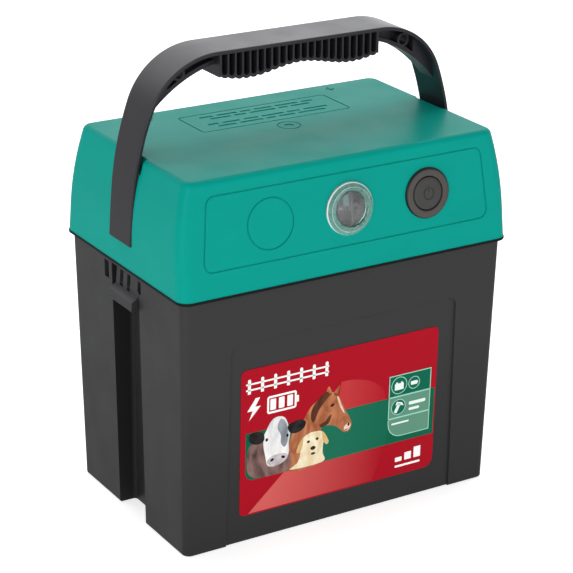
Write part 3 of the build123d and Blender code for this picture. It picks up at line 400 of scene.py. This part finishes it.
def button_skin(name, centre, colour, glossy):
    """The button's soft skin, with painted shade at the outer seam and in the groove round the cap."""
    paint = Paint(name, Specular_IOR_Level=0.35)
    paint.soften(0.25 * MM)
    radius = paint.away(centre)
    bloom = paint.noise(140, 4)
    fine = paint.noise(2600, 2)
    base = paint.mix(paint.span(bloom, 0.3, 0.75, 0.0, 0.35), colour, scaled(colour, 1.35))
    # Painted shade: near black at the outer seam and in the groove round the cap.
    seam_shade = paint.span(radius, *BUTTON_SEAM)
    rise = paint.span(radius, *GROOVE_INNER)
    fall = paint.span(radius, *GROOVE_OUTER, 0.0, 0.6)
    groove_shade = paint.math("MULTIPLY", rise, fall)
    base = paint.mix(paint.math("MAXIMUM", seam_shade, groove_shade), base, srgb(14, 13, 13))
    paint.bump(fine, 0.012 * MM)
    return paint.done(base, paint.span(bloom, 0.3, 0.7, glossy, glossy + 0.14))


def printed(name, colour, second=None, fade=None):
    """Ink on a satin film: halftone mottle, and a second colour in drifts or as a fade along X."""
    paint = Paint(name, Specular_IOR_Level=0.06)
    dots = paint.cells(2400)
    drift = paint.noise(40, 3)
    base = colour
    if fade:
        base = paint.mix(paint.span(paint.along("X"), fade[0] * MM, fade[1] * MM), colour, second)
    elif second:
        base = paint.mix(paint.span(drift, 0.38, 0.62), colour, second)
    base = paint.mix(paint.span(dots, 0.2, 0.8, 0.0, MOTTLE), base, (0.9, 0.9, 0.9, 1))
    paint.bump(paint.noise(500, 2), 0.004 * MM)
    return paint.done(base, paint.span(drift, 0.3, 0.7, 0.34, 0.44))


def coat(name, colour, second, across=(1, 1, 1), scale=160):
    """A printed picture of an animal's coat: streaky shading between two colours."""
    paint = Paint(name, Specular_IOR_Level=0.12)
    streaks = paint.noise(scale, 4, paint.stretched(*across), distortion=0.8)
    hairs = paint.noise(scale * 9, 2, paint.stretched(*across))
    base = paint.mix(paint.span(streaks, 0.36, 0.64), colour, second)
    base = paint.mix(paint.span(hairs, 0.3, 0.7, 0.0, 0.25), base, scaled(second, 0.6))
    paint.bump(hairs, 0.003 * MM)
    return paint.done(base, paint.span(streaks, 0.3, 0.7, 0.36, 0.46))


def finishes():
    """One material for each of the record's slots."""
    button_middle = face_centre("button_bezel", BUTTON_FACE)
    return {
        "housing_plastic": housing_skin("housing_satin", CHARCOAL, 0.42),
        # Painted shade: the tray is coloured near black, so its flange under the lid's edge reads as the
        # shadow line there.
        "base_tray": moulded("tray_shade_black", srgb(17, 19, 20), 0.5, Specular_IOR_Level=0.2),
        "latch_plastic": moulded("latch_satin", srgb(46, 46, 48), 0.4),
        "lid_plastic": moulded("lid_satin", TEAL, 0.36, wear_and_highlight=1.1, Specular_IOR_Level=0.05),
        "handle_plastic": moulded("handle_satin", HANDLE_GREY, 0.34),
        "label_film": printed("label_red", LABEL_RED),
        "lens_clear": clear_plastic("lens_clear"),
        "holder_plastic": moulded("holder_matt", srgb(92, 92, 94), 0.5),
        "lamp_epoxy": lamp_resin("lamp_resin"),
        "button_rubber": button_skin("button_cap_skin", button_middle, srgb(62, 61, 60), 0.5),
        "button_bezel": button_skin("button_bezel_skin", button_middle, srgb(74, 70, 67), 0.42),
        "seal_silicone": rubber("seal_pale", srgb(150, 196, 182)),
        "seal_rubber": rubber("seal_rubber", srgb(24, 24, 25)),
        "zinc_steel": metal("zinc_steel", srgb(186, 188, 190), 0.24, srgb(150, 150, 142)),
        "spring_steel": metal("spring_steel", srgb(150, 150, 152), 0.22, srgb(96, 90, 84)),
        "iron_core": stacked("iron_core", srgb(112, 108, 106), 0.5, "Y"),
        "copper_wire": wound("copper_wire", srgb(176, 94, 48), 0.3, 0.6, "Z"),
        "ferrite": moulded("ferrite", srgb(44, 42, 44), 0.62, grain=900, relief=0.03),
        "board": circuit_laminate("board_laminate"),
        "chip_epoxy": moulded("chip_epoxy", srgb(30, 30, 32), 0.55, grain=2600),
        "can_sleeve": sleeved("can_sleeve", srgb(22, 28, 48), srgb(160, 170, 176), *CAN_BAND),
        "resistor_lacquer": sleeved("resistor_lacquer", srgb(196, 164, 118), srgb(150, 60, 30),
                                    *RESISTOR_BAND),
        "bobbin_plastic": moulded("bobbin_plastic", srgb(205, 198, 178), 0.46),
        "capacitor_box": moulded("capacitor_box", srgb(178, 128, 22), 0.34, grain=900),
        "knob_plastic": moulded("knob_red", srgb(176, 22, 26), 0.34),
        "earth_knob_plastic": moulded("knob_black", srgb(34, 34, 36), 0.34),
        "battery_plastic": moulded("battery_case", srgb(28, 62, 128), 0.4),
        "battery_lid_plastic": moulded("battery_lid", srgb(70, 74, 80), 0.4),
        "connector_plastic": moulded("connector_black", srgb(30, 30, 32), 0.44),
        "lead_jacket": moulded("lead_jacket", srgb(158, 22, 22), 0.4, grain=700),
        "terminal_brass": metal("terminal_brass", srgb(206, 170, 92), 0.22, srgb(142, 104, 52)),
        "aluminium": metal("aluminium", srgb(196, 198, 200), 0.34, srgb(168, 170, 172), (1, 1, 12)),
    }


def paint_nodes(made):
    """Give every CAD node its finish."""
    for name, node in frame["nodes"].items():
        slot = node.material_slots[0]
        slot.material = made.get(name) or made[slot.material.name]


# ---------------------------------------------------------------- label artwork

# The artwork is drawn in millimetres: X from the middle of the object, and height over the ground.
INK_SUNK = 0.02 * MM
INK_STEP = 0.02 * MM
ART_SHIFT = (-0.8, 0.6)


class Label:
    """The label's outer face, measured from its CAD node."""

    def __init__(self):
        low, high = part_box("front_label")
        points = [vertex.co for vertex in frame["nodes"]["front_label"].data.vertices]
        self.foot = Vector((0, min(p.y for p in points if p.z < low.z + 0.1 * MM), low.z))
        head = min(p.y for p in points if p.z > high.z - 0.1 * MM)
        self.slope = (head - self.foot.y) / (high.z - low.z)
        self.outward = Vector((0, -1, self.slope)).normalized()
        self.low, self.high = low, high

    def point(self, x, z, height):
        """A point over the label from millimetres along X and Z, raised by a height."""
        x, z = x + ART_SHIFT[0], z + ART_SHIFT[1]
        spot = Vector((x * MM, self.foot.y + self.slope * (z * MM - self.foot.z), z * MM))
        return spot + self.outward * height


label = Label()


def smooth(points, steps=6):
    """A closed Catmull-Rom curve through the points."""
    count = len(points)
    curve = []
    for i in range(count):
        a, b, c, d = (Vector(points[(i + k) % count]) for k in (-1, 0, 1, 2))
        for step in range(steps):
            t = step / steps
            curve.append((2 * b + (c - a) * t + (2 * a - 5 * b + 4 * c - d) * t ** 2
                          + (3 * b - a - 3 * c + d) * t ** 3) / 2)
    return curve


def oval(x, z, half_x, half_z=None, turn=0.0, count=28):
    """An ellipse's outline."""
    half_z = half_z or half_x
    turned = Matrix.Rotation(math.radians(turn), 2)
    angles = [2 * math.pi * k / count for k in range(count)]
    return [Vector((x, z)) + turned @ Vector((half_x * math.cos(a), half_z * math.sin(a))) for a in angles]


def rounded(x0, x1, z0, z1, *radii, count=5):
    """A rectangle's outline; the radii start at its lower left corner and go round by the lower right."""
    radii = radii * 4 if len(radii) == 1 else radii
    corners = ((x0, z0, 1, 1, 180), (x1, z0, -1, 1, 270), (x1, z1, -1, -1, 0), (x0, z1, 1, -1, 90))
    outline = []
    for (x, z, to_x, to_z, start), radius in zip(corners, radii):
        centre = Vector((x + to_x * radius, z + to_z * radius))
        for k in range(count + 1):
            angle = math.radians(start + 90 * k / count)
            outline.append(centre + radius * Vector((math.cos(angle), math.sin(angle))))
            if radius == 0:
                break
    return outline


def inset(outline, distance):
    """The outline moved inwards, with mitred corners; it runs anticlockwise."""
    count = len(outline)
    moved = []
    for i in range(count):
        before, here, after = (Vector(outline[(i + k) % count]) for k in (-1, 0, 1))
        first, second = (here - before).normalized(), (after - here).normalized()
        normal = Vector((-first.y - second.y, first.x + second.x)).normalized()
        share = max(normal.dot(Vector((-first.y, first.x))), 0.3)
        moved.append(here + normal * distance / share)
    return moved


def stroke(start, end, width):
    """A straight bar's outline between two points."""
    start, end = Vector(start), Vector(end)
    along = (end - start).normalized() * width / 2
    across = Vector((-along.y, along.x))
    return [start - across, end - across, end + across, start + across]


def film(name, paint, layer, solids=(), rims=()):
    """Printed shapes: filled outlines, and rims as (outline, width) pairs."""
    mesh = bmesh.new()
    heights = (-INK_SUNK, INK_STEP * layer)

    def wall(first, second):
        count = len(first)
        for i in range(count):
            j = (i + 1) % count
            mesh.faces.new((first[i], first[j], second[j], second[i]))

    def lifted(outline):
        return [[mesh.verts.new(label.point(x, z, height)) for x, z in outline] for height in heights]

    for outline in solids:
        back, front = lifted(outline)
        wall(back, front)
        mesh.faces.new(front)
        mesh.faces.new(list(reversed(back)))
    for outline, width in rims:
        back, front = lifted(outline)
        inner_back, inner_front = lifted(inset(outline, width))
        wall(back, front)
        wall(front, inner_front)
        wall(inner_front, inner_back)
        wall(inner_back, back)
    bmesh.ops.recalc_face_normals(mesh, faces=mesh.faces)
    bmesh.ops.triangulate(mesh, faces=[face for face in mesh.faces if len(face.verts) > 4])
    piece(name, mesh, paint, "housing")


def piece(name, mesh, paint, body):
    """Turn a bmesh into an object that rides on a CAD body."""
    data = bpy.data.meshes.new(name)
    mesh.to_mesh(data)
    mesh.free()
    data.materials.append(paint)
    made = bpy.data.objects.new(name, data)
    bpy.context.scene.collection.objects.link(made)
    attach(made, body)
    return made


# The green band's left end, foot and top, the information panel's left, right, foot, top and rows,
# and the disc's half width and height.
GREEN_BAND = (-68.0, 40.3, 72.2)
PANEL = (34.2, 65.5, 44.2, 86.8)
PANEL_ROWS = (57.5, 72.1)
DISC_HALF = (32, 19.5)


def label_fields():
    """The label's coloured fields: green band, pale beam, disc and glow."""
    left, low, high = GREEN_BAND
    right = label.high.x / MM
    band = rounded(left, right, low, high, 6.0, 0, 0, 0.6)
    film("label_band", printed("label_green", LABEL_GREEN, scaled(LABEL_GREEN, 0.8)), 1, [band])
    foot = label.low.z / MM
    beam = [(-65.5, foot + 0.3), (24.0, foot + 0.3), (32.8, low), (-40.6, low)]
    film("label_beam", printed("label_beam", srgb(206, 92, 88), LABEL_RED, (-52, 30)), 2, [beam])
    turns = [math.radians(4 * k) for k in range(24)]
    disc = [(-4, high)] + [(DISC_HALF[0] * math.cos(a), high + DISC_HALF[1] * math.sin(a)) for a in turns]
    film("label_disc", printed("label_disc", srgb(186, 52, 54), srgb(172, 14, 34), (2, 32)), 2, [disc])
    glow = [(-14, low), (32.8, low), (34.5, 48), (35, 60), (33, high), (-14, high)]
    film("label_glow", printed("label_glow", srgb(20, 108, 82), srgb(6, 100, 74), (0, 34)), 2, [glow])


def label_information():
    """The panel of plain pictograms: battery, cell and hammer, with bars where words would be."""
    left, right, low, high = PANEL
    outline = rounded(left, right, low, high, 10.0, 0, 0, 0)
    film("label_panel", printed("panel_grey", srgb(92, 142, 120)), 3, [outline])
    film("label_panel_head", printed("panel_green", srgb(0, 98, 74)), 4,
         [rounded(left, right, PANEL_ROWS[1], high, 0), oval(41.7, 64.8, 5.2)])
    lines = [stroke((left, z), (right, z), 0.9) for z in PANEL_ROWS]
    rims = [(outline, 0.6), (oval(41.7, 79.6, 5.9), 0.5), (oval(52.8, 79.2, 4.3), 0.5),
            (oval(41.7, 64.8, 5.4), 0.5)]
    film("label_panel_lines", printed("panel_line", PALE_GREEN), 5, lines, rims)
    battery = [rounded(38.4, 45.0, 76.6, 81.0, 0.4)]
    battery += [rounded(x, x + 1.4, 80.8, 81.9, 0.2) for x in (39.2, 42.8)]
    cell = [rounded(50.4, 55.2, 77.9, 80.4, 0.3), rounded(55.0, 55.7, 78.5, 79.8, 0.2)]
    hammer = [stroke((39.4, 61.2), (42.4, 67.2), 2.2),
              [(39.6, 66.4), (40.4, 68.6), (44.4, 67.4), (45.6, 65.2), (42.9, 65.9)]]
    bars = [rounded(49.5, 62.0, 64.4, 66.6, 0.8), rounded(49.5, 57.5, 60.6, 62.4, 0.8),
            rounded(37.0, 50.0, 53.0, 54.2, 0.5)]
    film("label_panel_signs", printed("panel_white", srgb(226, 240, 232)), 6, battery + cell + hammer + bars)


def label_signs():
    """The plain white signs: fence posts with two wires, a bolt, a battery gauge, and bars over a line."""
    posts = [rounded(x, x + 2.0, 98.0, 107.6, 0.3, 0.3, 0.9, 0.9) for x in range(-67, -12, 9)]
    wires = [stroke((-68.2, z), (-10.5, z), 1.1) for z in (100.6, 104.4)]
    bolt = [(-58.6, 94.6), (-61.9, 89.0), (-58.0, 89.0), (-65.8, 80.6), (-63.4, 86.6), (-67.2, 86.6),
            (-61.5, 94.6)]
    gauge = rounded(-53.5, -33.0, 82.0, 93.6, 1.6)
    cells = [rounded(x, x + 3.9, 84.2, 91.4, 0.5) for x in (-51.3, -45.4, -39.5)]
    nub = [rounded(-33.2, -31.4, 85.6, 90.0, 0.6)]
    corner = [rounded(41 + 7 * k, 46 + 7 * k, 26.4, 26.4 + 3.0 + 2.2 * k, 0.4) for k in range(3)]
    corner += [rounded(41.0, 60.0, 22.4, 23.8, 0.5)]
    film("label_signs", printed("label_white", WHITE), 6,
         posts + wires + [bolt] + cells + nub + corner, [(gauge, 1.3)])


def label_horse():
    """A horse's head and neck, looking right."""
    neck = [(-38, 40.5), (-14.5, 40.5), (-14.0, 52), (-15.0, 60), (-13.8, 64.4), (-8, 64.0), (-4.6, 62.6),
            (-1.6, 60.2), (2.0, 57.0), (5.6, 57.4), (7.2, 61.4), (5.6, 66.2), (2.2, 72.2), (-0.4, 78.0),
            (-3.2, 83.4), (-7.4, 86.2), (-12.6, 85.0), (-20.2, 81.6), (-24.2, 77.6), (-28.6, 70.8), (-36, 64)]
    ears = [smooth([(-12.2, 84.6), (-10.2, 90.6), (-8.0, 86.4), (-9.0, 84.0)]),
            smooth([(-6.2, 85.2), (-2.2, 89.8), (-2.9, 85.4), (-4.4, 83.0)])]
    chestnut = coat("coat_chestnut", srgb(150, 82, 48), srgb(198, 126, 86), (1, 1, 0.5))
    film("label_horse", chestnut, 3, [smooth(neck)] + ears)
    mane = smooth([(-12.0, 87.4), (-9.8, 84.6), (-13.2, 80.4), (-17, 76), (-20, 69), (-22.4, 71.6),
                   (-22.0, 77.2), (-18.6, 82.2)])
    shade = smooth([(-14.6, 64.0), (-9.4, 66.0), (-7.6, 71.0), (-9.6, 70.4), (-12.0, 67.6), (-16.2, 66.2)])
    dark_hair = coat("coat_mane", srgb(74, 40, 26), srgb(104, 58, 36), (1, 1, 0.3))
    film("label_horse_shade", dark_hair, 4, [mane, shade])
    blaze = smooth([(-4.0, 82.4), (-2.4, 81.2), (-0.6, 76.2), (1.8, 70.8), (1.0, 70.6), (-1.8, 75.6)])
    muzzle = smooth([(2.2, 57.8), (5.2, 58.2), (6.6, 61.4), (4.4, 62.6), (1.8, 60.6)])
    pale_hair = coat("coat_blaze", srgb(222, 178, 150), srgb(238, 214, 196))
    film("label_horse_light", pale_hair, 5, [blaze, muzzle])
    film("label_horse_dark", printed("picture_dark", srgb(30, 22, 20)), 6,
         [oval(-7.2, 77.4, 1.5, 0.8, 20), oval(5.0, 61.6, 0.8, 1.1), oval(3.2, 58.4, 1.6, 0.3, 10)])


def label_cow():
    """A cow's head seen from the front, with its shoulder behind."""
    shoulder = [(-66.4, 61), (-66.8, 48), (-63.6, 42.4), (-58, 40.5), (-40, 40.5), (-36, 46), (-40, 58),
                (-54, 64), (-62, 65)]
    dark_hair = coat("coat_dark", srgb(52, 40, 38), srgb(146, 112, 106), (0.6, 1, 0.25))
    film("label_cow_shoulder", dark_hair, 4, [smooth(shoulder)])
    head = [(-55.6, 67.6), (-53.6, 71.4), (-51.0, 76.0), (-48.0, 78.4), (-44.0, 78.6), (-40.6, 76.6),
            (-38.4, 71.6), (-37.0, 66.0), (-37.8, 59.0), (-37.6, 53.4), (-39.0, 49.6), (-43.2, 46.8),
            (-49.6, 46.2), (-52.8, 48.2), (-54.2, 54), (-55.6, 61)]
    white_hair = coat("coat_white", srgb(196, 200, 206), srgb(244, 242, 238), (1, 1, 0.3), 120)
    film("label_cow_head", white_hair, 5, [smooth(head)])
    ears = [smooth([(-66.0, 68.8), (-64.6, 71.4), (-60.4, 72.0), (-56.0, 70.0), (-55.0, 66.0),
                    (-56.8, 63.8), (-61, 63.6), (-64.8, 65.8)]),
            smooth([(-38.8, 70.6), (-35.0, 72.6), (-29.4, 73.0), (-26.0, 70.6), (-27.4, 66.8),
                    (-32.0, 64.8), (-37.0, 66)])]
    patch = smooth([(-43.8, 76.8), (-40.6, 74.4), (-38.8, 69.4), (-38.4, 62.0), (-40.6, 57.4),
                    (-43.4, 60.6), (-43.6, 66.0), (-46.0, 71.6)])
    grey_hair = coat("coat_grey", srgb(118, 122, 132), srgb(160, 164, 172), (1, 1, 0.4))
    film("label_cow_patch", grey_hair, 6, [patch])
    film("label_cow_ears", coat("coat_black", srgb(24, 22, 24), srgb(48, 44, 46)), 6, ears)
    muzzle = smooth([(-53.0, 50.2), (-49.6, 53.0), (-45.0, 53.6), (-40.2, 53.0), (-38.4, 50.0),
                     (-42.8, 46.8), (-49.8, 46.2)])
    film("label_cow_muzzle", coat("coat_muzzle", srgb(170, 160, 164), srgb(206, 198, 200)), 7, [muzzle])
    eyes = [oval(-53.4, 65.0, 0.9, 1.1), oval(-38.9, 64.6, 0.9, 1.1)]
    nostrils = [oval(-49.4, 50.6, 1.4, 0.9, 25), oval(-41.6, 50.8, 1.4, 0.9, -25)]
    film("label_cow_dark", printed("picture_black", srgb(20, 18, 20)), 8, eyes + nostrils)


def label_dog():
    """A young dog's head and chest."""
    body = [(-36, 40.5), (-13.2, 40.5), (-13.4, 47), (-13.0, 53), (-11.8, 57.4), (-14.4, 61.6), (-18.2, 62.4),
            (-23.6, 62.2), (-28.0, 59.6), (-29.6, 55), (-29.4, 49.6), (-31.2, 44.2)]
    cream = coat("coat_cream", srgb(224, 200, 150), srgb(246, 236, 206), (1, 1, 0.5))
    film("label_dog", cream, 7, [smooth(body)])
    ears = [smooth([(-27.6, 60.2), (-30.6, 56.4), (-32.2, 51.8), (-30.2, 50.6), (-28.2, 53.8)]),
            smooth([(-14.0, 61.4), (-11.4, 58.4), (-9.2, 53.6), (-10.8, 51.8), (-13.2, 55.4)])]
    film("label_dog_ears", coat("coat_tan", srgb(196, 156, 92), srgb(222, 186, 128)), 8, ears)
    eyes = [oval(-23.8, 56.6, 1.1, 0.9), oval(-17.6, 57.2, 1.1, 0.9)]
    nose, mouth = oval(-20.4, 51.6, 1.9, 1.3), oval(-20.2, 47.8, 1.6, 0.8)
    film("label_dog_dark", printed("picture_brown", srgb(58, 40, 34)), 9, eyes + [nose, mouth])


def label_art():
    """Everything printed on the label."""
    label_fields()
    label_information()
    label_signs()
    label_horse()
    label_cow()
    label_dog()


# ---------------------------------------------------------------- studs, battery marks and indicator window

RIGHT = Vector((1, 0, 0))

# The studs in millimetres: the thread and its step down to the plain tip, the tip's length, radii and
# chamfer, and the rows and sides of the mesh.
STUD_RADIUS = 3.0
THREAD_PITCH = 1.0
THREAD_DEPTH = 0.42
THREAD_FADE = 0.2
TIP_LENGTH = 6.6
TIP_RADIUS = 2.55
TIP_END_RADIUS = 2.0
TIP_CHAMFER = 0.6
ROWS_PER_TURN = 6
STUD_SIDES = 36

# The button's spring: turns, steps round each turn and round the wire, and its radii.
COIL_TURNS = 5
COIL_STEPS = 24
COIL_SIDES = 8
COIL_WIRE = 0.35 * MM
COIL_RADIUS = 4.6 * MM

# The battery's plus and minus in millimetres: a bar's half length and half width, its distance from the
# nearer post, how deep it is set and how far it stands up, and how far the marked face lies under the
# cover's highest point.
MARK_LONG = 4.5
MARK_WIDE = 1.1
MARK_AWAY = 12
MARK_SUNK = 0.3
MARK_RAISED = 0.5
COVER_STEP = 1.2

# The diffuser plate in millimetres from the lens's middle: left, right, foot, top, and its back and front.
PLATE = (-2.0, 1.9, 0.6, 9.6)
PLATE_HEIGHTS = (-5.4, -4.6)


def tube(mesh, rows):
    """Join rings of vertices into one closed skin."""
    for first, second in zip(rows, rows[1:]):
        for j, corner in enumerate(first):
            k = (j + 1) % len(first)
            mesh.faces.new((corner, first[k], second[k], second[j]))
    mesh.faces.new(list(reversed(rows[0])))
    mesh.faces.new(rows[-1])
    bmesh.ops.recalc_face_normals(mesh, faces=mesh.faces)


def along_axis(node, origin, axis):
    """How far a node reaches along a line, in metres."""
    reach = [(vertex.co - origin).dot(axis) for vertex in frame["nodes"][node].data.vertices]
    return min(reach), max(reach)


def threaded_stud(side, paint):
    """A stud with a real helical thread up to its plain, chamfered tip, in place of the plain CAD rod."""
    axis = Vector(JOINTS[f"{side}_knob_turn"]["axis"]).normalized()
    low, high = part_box(f"{side}_knob")
    node = f"{side}_stud"
    centre = (low + high) / 2
    start, end = along_axis(node, centre, axis)
    if abs(start) > end:
        axis, start, end = -axis, -end, -start
    across = axis.cross(UP).normalized()
    upright = axis.cross(across)
    tip = end - TIP_LENGTH * MM
    steps = int((tip - start) / MM * ROWS_PER_TURN / THREAD_PITCH)
    mesh = bmesh.new()

    def ring(height, radii):
        row = []
        for j, radius in enumerate(radii):
            angle = 2 * math.pi * j / STUD_SIDES
            out = across * math.cos(angle) + upright * math.sin(angle)
            row.append(mesh.verts.new(centre + axis * height + out * (radius * MM)))
        return row

    def thread(height):
        phases = [(height / MM / THREAD_PITCH - j / STUD_SIDES) % 1 for j in range(STUD_SIDES)]
        return [STUD_RADIUS - THREAD_DEPTH * abs(2 * phase - 1) for phase in phases]

    heights = [(tip - start) * k / steps for k in range(steps + 1)]
    rows = [ring(start + height, thread(height)) for height in heights]
    for height, radius in ((tip + THREAD_FADE * MM, TIP_RADIUS), (end - TIP_CHAMFER * MM, TIP_RADIUS),
                           (end, TIP_END_RADIUS)):
        rows.append(ring(height, [radius] * STUD_SIDES))
    tube(mesh, rows)
    made = piece(f"{side}_stud_threaded", mesh, paint, "head")
    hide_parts(node)


def button_coil(paint):
    """The button's return spring as a coil."""
    axis, wire = PANEL_OUT, COIL_WIRE
    centre = sum(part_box("button_spring"), Vector()) / 2
    start, end = along_axis("button_spring", centre, axis)
    start, end = start + wire, end - wire
    side = axis.cross(RIGHT).normalized()
    mesh = bmesh.new()
    rows = []
    steps = COIL_TURNS * COIL_STEPS
    for k in range(steps + 1):
        angle = 2 * math.pi * k / COIL_STEPS
        out = RIGHT * math.cos(angle) + side * math.sin(angle)
        middle = centre + axis * (start + (end - start) * k / steps) + out * COIL_RADIUS
        row = []
        for j in range(COIL_SIDES):
            turn = 2 * math.pi * j / COIL_SIDES
            row.append(mesh.verts.new(middle + (out * math.cos(turn) + axis * math.sin(turn)) * wire))
        rows.append(row)
    tube(mesh, rows)
    made = piece("button_coil", mesh, paint, "head")
    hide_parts("button_spring")
    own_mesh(made)


def block(mesh, low, high):
    """A box with slightly softened edges."""
    made = bmesh.ops.create_cube(mesh, size=1.0)["verts"]
    middle, size = (low + high) / 2, high - low
    for vertex in made:
        vertex.co = middle + Vector((vertex.co.x * size.x, vertex.co.y * size.y, vertex.co.z * size.z))
    edges = {edge for vertex in made for edge in vertex.link_edges}
    bmesh.ops.bevel(mesh, geom=list(edges), offset=min(size) * 0.2, segments=2, affect="EDGES")


def battery_marks(paint):
    """A raised plus beside one of the battery's posts and a minus beside the other."""
    cover_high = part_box("battery_cover")[1]
    post_low, post_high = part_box("battery_posts")
    top = cover_high.z - COVER_STEP * MM
    along, across = (MARK_LONG, MARK_WIDE), (MARK_WIDE, MARK_LONG)
    plus = (post_high.x + MARK_AWAY * MM, (along, across))
    minus = (post_low.x - MARK_AWAY * MM, (along,))
    mesh = bmesh.new()
    for x, bars in (plus, minus):
        for half_x, half_y in bars:
            block(mesh, Vector((x - half_x * MM, -half_y * MM, top - MARK_SUNK * MM)),
                  Vector((x + half_x * MM, half_y * MM, top + MARK_RAISED * MM)))
    piece("battery_marks", mesh, paint, "housing")


def indicator_window(paint):
    """A grey-green diffuser plate beside the partition in the indicator's cup."""
    centre = face_centre("indicator_lens", LENS_FACE)
    up = RIGHT.cross(-PANEL_OUT).normalized()
    left, right, low, high = PLATE
    mesh = bmesh.new()
    corners = []
    for height in PLATE_HEIGHTS:
        for x, y in ((left, low), (right, low), (right, high), (left, high)):
            corners.append(mesh.verts.new(centre + (RIGHT * x + up * y + PANEL_OUT * height) * MM))
    back, front = corners[:4], corners[4:]
    mesh.faces.new(front)
    mesh.faces.new(list(reversed(back)))
    for i in range(4):
        j = (i + 1) % 4
        mesh.faces.new((back[i], back[j], front[j], front[i]))
    bmesh.ops.recalc_face_normals(mesh, faces=mesh.faces)
    bmesh.ops.bevel(mesh, geom=list(mesh.edges), offset=0.25 * MM, segments=2, affect="EDGES")
    piece("indicator_window", mesh, paint, "head")


def fine_parts(made):
    """The parts that are finer than their CAD nodes."""
    for side in ("fence", "earth"):
        threaded_stud(side, made["zinc_steel"])
    button_coil(made["spring_steel"])
    battery_marks(moulded("battery_mark", srgb(214, 216, 218), 0.4))
    indicator_window(printed("window_green", srgb(86, 138, 130), srgb(104, 158, 148)))


# ---------------------------------------------------------------- stage, lights and camera

# The point that the lights are aimed at, and the floor's half size in metres and its own light.
TARGET = Vector((0, 0, 0.14))
FLOOR_HALF = 20.0
FLOOR_GLOW = 0.6

# The room's light, and its brighter parts: a direction, the cosines where the glow starts and is full,
# and what it adds.
ROOM_LEVEL = 0.4
BACKDROP_LEVEL = 1.6
BACKDROP = ((0.42, 0.75, 0.50), 0.5, 0.85, BACKDROP_LEVEL - ROOM_LEVEL)
SIDE_GLOW = ((-0.485, 0.794, -0.367), 0.7, 0.97, 0.05)

# The camera's turn, tilt and roll in degrees, its place in metres, and its lens and sensor in millimetres.
CAMERA_ANGLES = (31.411, 21.560, 0.585)
CAMERA_PLACE = Vector((-0.64351, -1.05508, 0.61849))
CAMERA_LENS = 133.249
CAMERA_SENSOR = 36


def floor():
    """A pale floor that is lit from within, like a light table."""
    mesh = bmesh.new()
    bmesh.ops.create_grid(mesh, x_segments=8, y_segments=8, size=FLOOR_HALF)
    data = bpy.data.meshes.new("floor")
    mesh.to_mesh(data)
    mesh.free()
    made = bpy.data.objects.new("floor", data)
    bpy.context.scene.collection.objects.link(made)
    paint = Paint("floor_pale", Emission_Color=(1, 1, 1, 1), Emission_Strength=FLOOR_GLOW,
                  Specular_IOR_Level=0.0)
    tone = paint.mix(paint.noise(3, 2), srgb(246, 246, 246), srgb(250, 250, 250))
    data.materials.append(paint.done(tone, paint.span(paint.noise(9, 2), 0.3, 0.7, 0.7, 0.8)))
    made.visible_glossy = False


def softbox(name, place, size, power):
    """A square soft light aimed at the object."""
    data = bpy.data.lights.new(name, "AREA")
    data.size = size
    data.energy = power
    made = bpy.data.objects.new(name, data)
    made.location = place
    made.rotation_euler = (TARGET - Vector(place)).to_track_quat("-Z", "Y").to_euler()
    bpy.context.scene.collection.objects.link(made)


def studio():
    """A dim room with a bright backdrop behind, and large soft lights at the left, in front and above."""
    world = bpy.data.worlds.new("room")
    world.use_nodes = True
    nodes, links = world.node_tree.nodes, world.node_tree.links
    around = nodes.new("ShaderNodeTexCoord").outputs["Generated"]
    level = None
    for centre, low, high, gain in (BACKDROP, SIDE_GLOW):
        toward = nodes.new("ShaderNodeVectorMath")
        toward.operation = "DOT_PRODUCT"
        links.new(around, toward.inputs[0])
        toward.inputs[1].default_value = Vector(centre).normalized()
        glow = nodes.new("ShaderNodeMapRange")
        glow.interpolation_type = "SMOOTHSTEP"
        links.new(toward.outputs["Value"], glow.inputs[0])
        for socket, value in zip(glow.inputs[1:5], (low, high, 0.0, gain)):
            socket.default_value = value
        total = nodes.new("ShaderNodeMath")
        total.inputs[0].default_value = ROOM_LEVEL
        if level is not None:
            links.new(level, total.inputs[0])
        links.new(glow.outputs[0], total.inputs[1])
        level = total.outputs[0]
    shine = nodes["Background"]
    shine.inputs["Color"].default_value = (0.98, 0.99, 1.0, 1.0)
    links.new(level, shine.inputs["Strength"])
    scene = bpy.context.scene
    scene.world = world
    scene.view_settings.view_transform = "Standard"
    softbox("key_light", (-1.9, -1.5, 0.75), 1.6, 20)
    softbox("front_light", (0.4, -2.4, 0.6), 1.6, 8)
    softbox("top_light", (0.3, 0.6, 2.2), 1.8, 8)


def camera():
    """The view from the front left, a little above, through a long lens."""
    yaw, pitch, roll = (math.radians(angle) for angle in CAMERA_ANGLES)
    ahead = Vector((math.sin(yaw) * math.cos(pitch), math.cos(yaw) * math.cos(pitch), -math.sin(pitch)))
    level = ahead.cross(UP).normalized()
    upright = level.cross(ahead)
    right = level * math.cos(roll) + upright * math.sin(roll)
    above = upright * math.cos(roll) - level * math.sin(roll)
    data = bpy.data.cameras.new("camera")
    data.sensor_width = CAMERA_SENSOR
    data.lens = CAMERA_LENS
    made = bpy.data.objects.new("camera", data)
    turned = Matrix((right, above, -ahead)).transposed().to_4x4()
    made.matrix_world = Matrix.Translation(CAMERA_PLACE) @ turned
    bpy.context.scene.collection.objects.link(made)
    bpy.context.scene.camera = made


# ---------------------------------------------------------------- put together

camera()
studio()
floor()
surfaces = finishes()
paint_nodes(surfaces)
label_art()
fine_parts(surfaces)
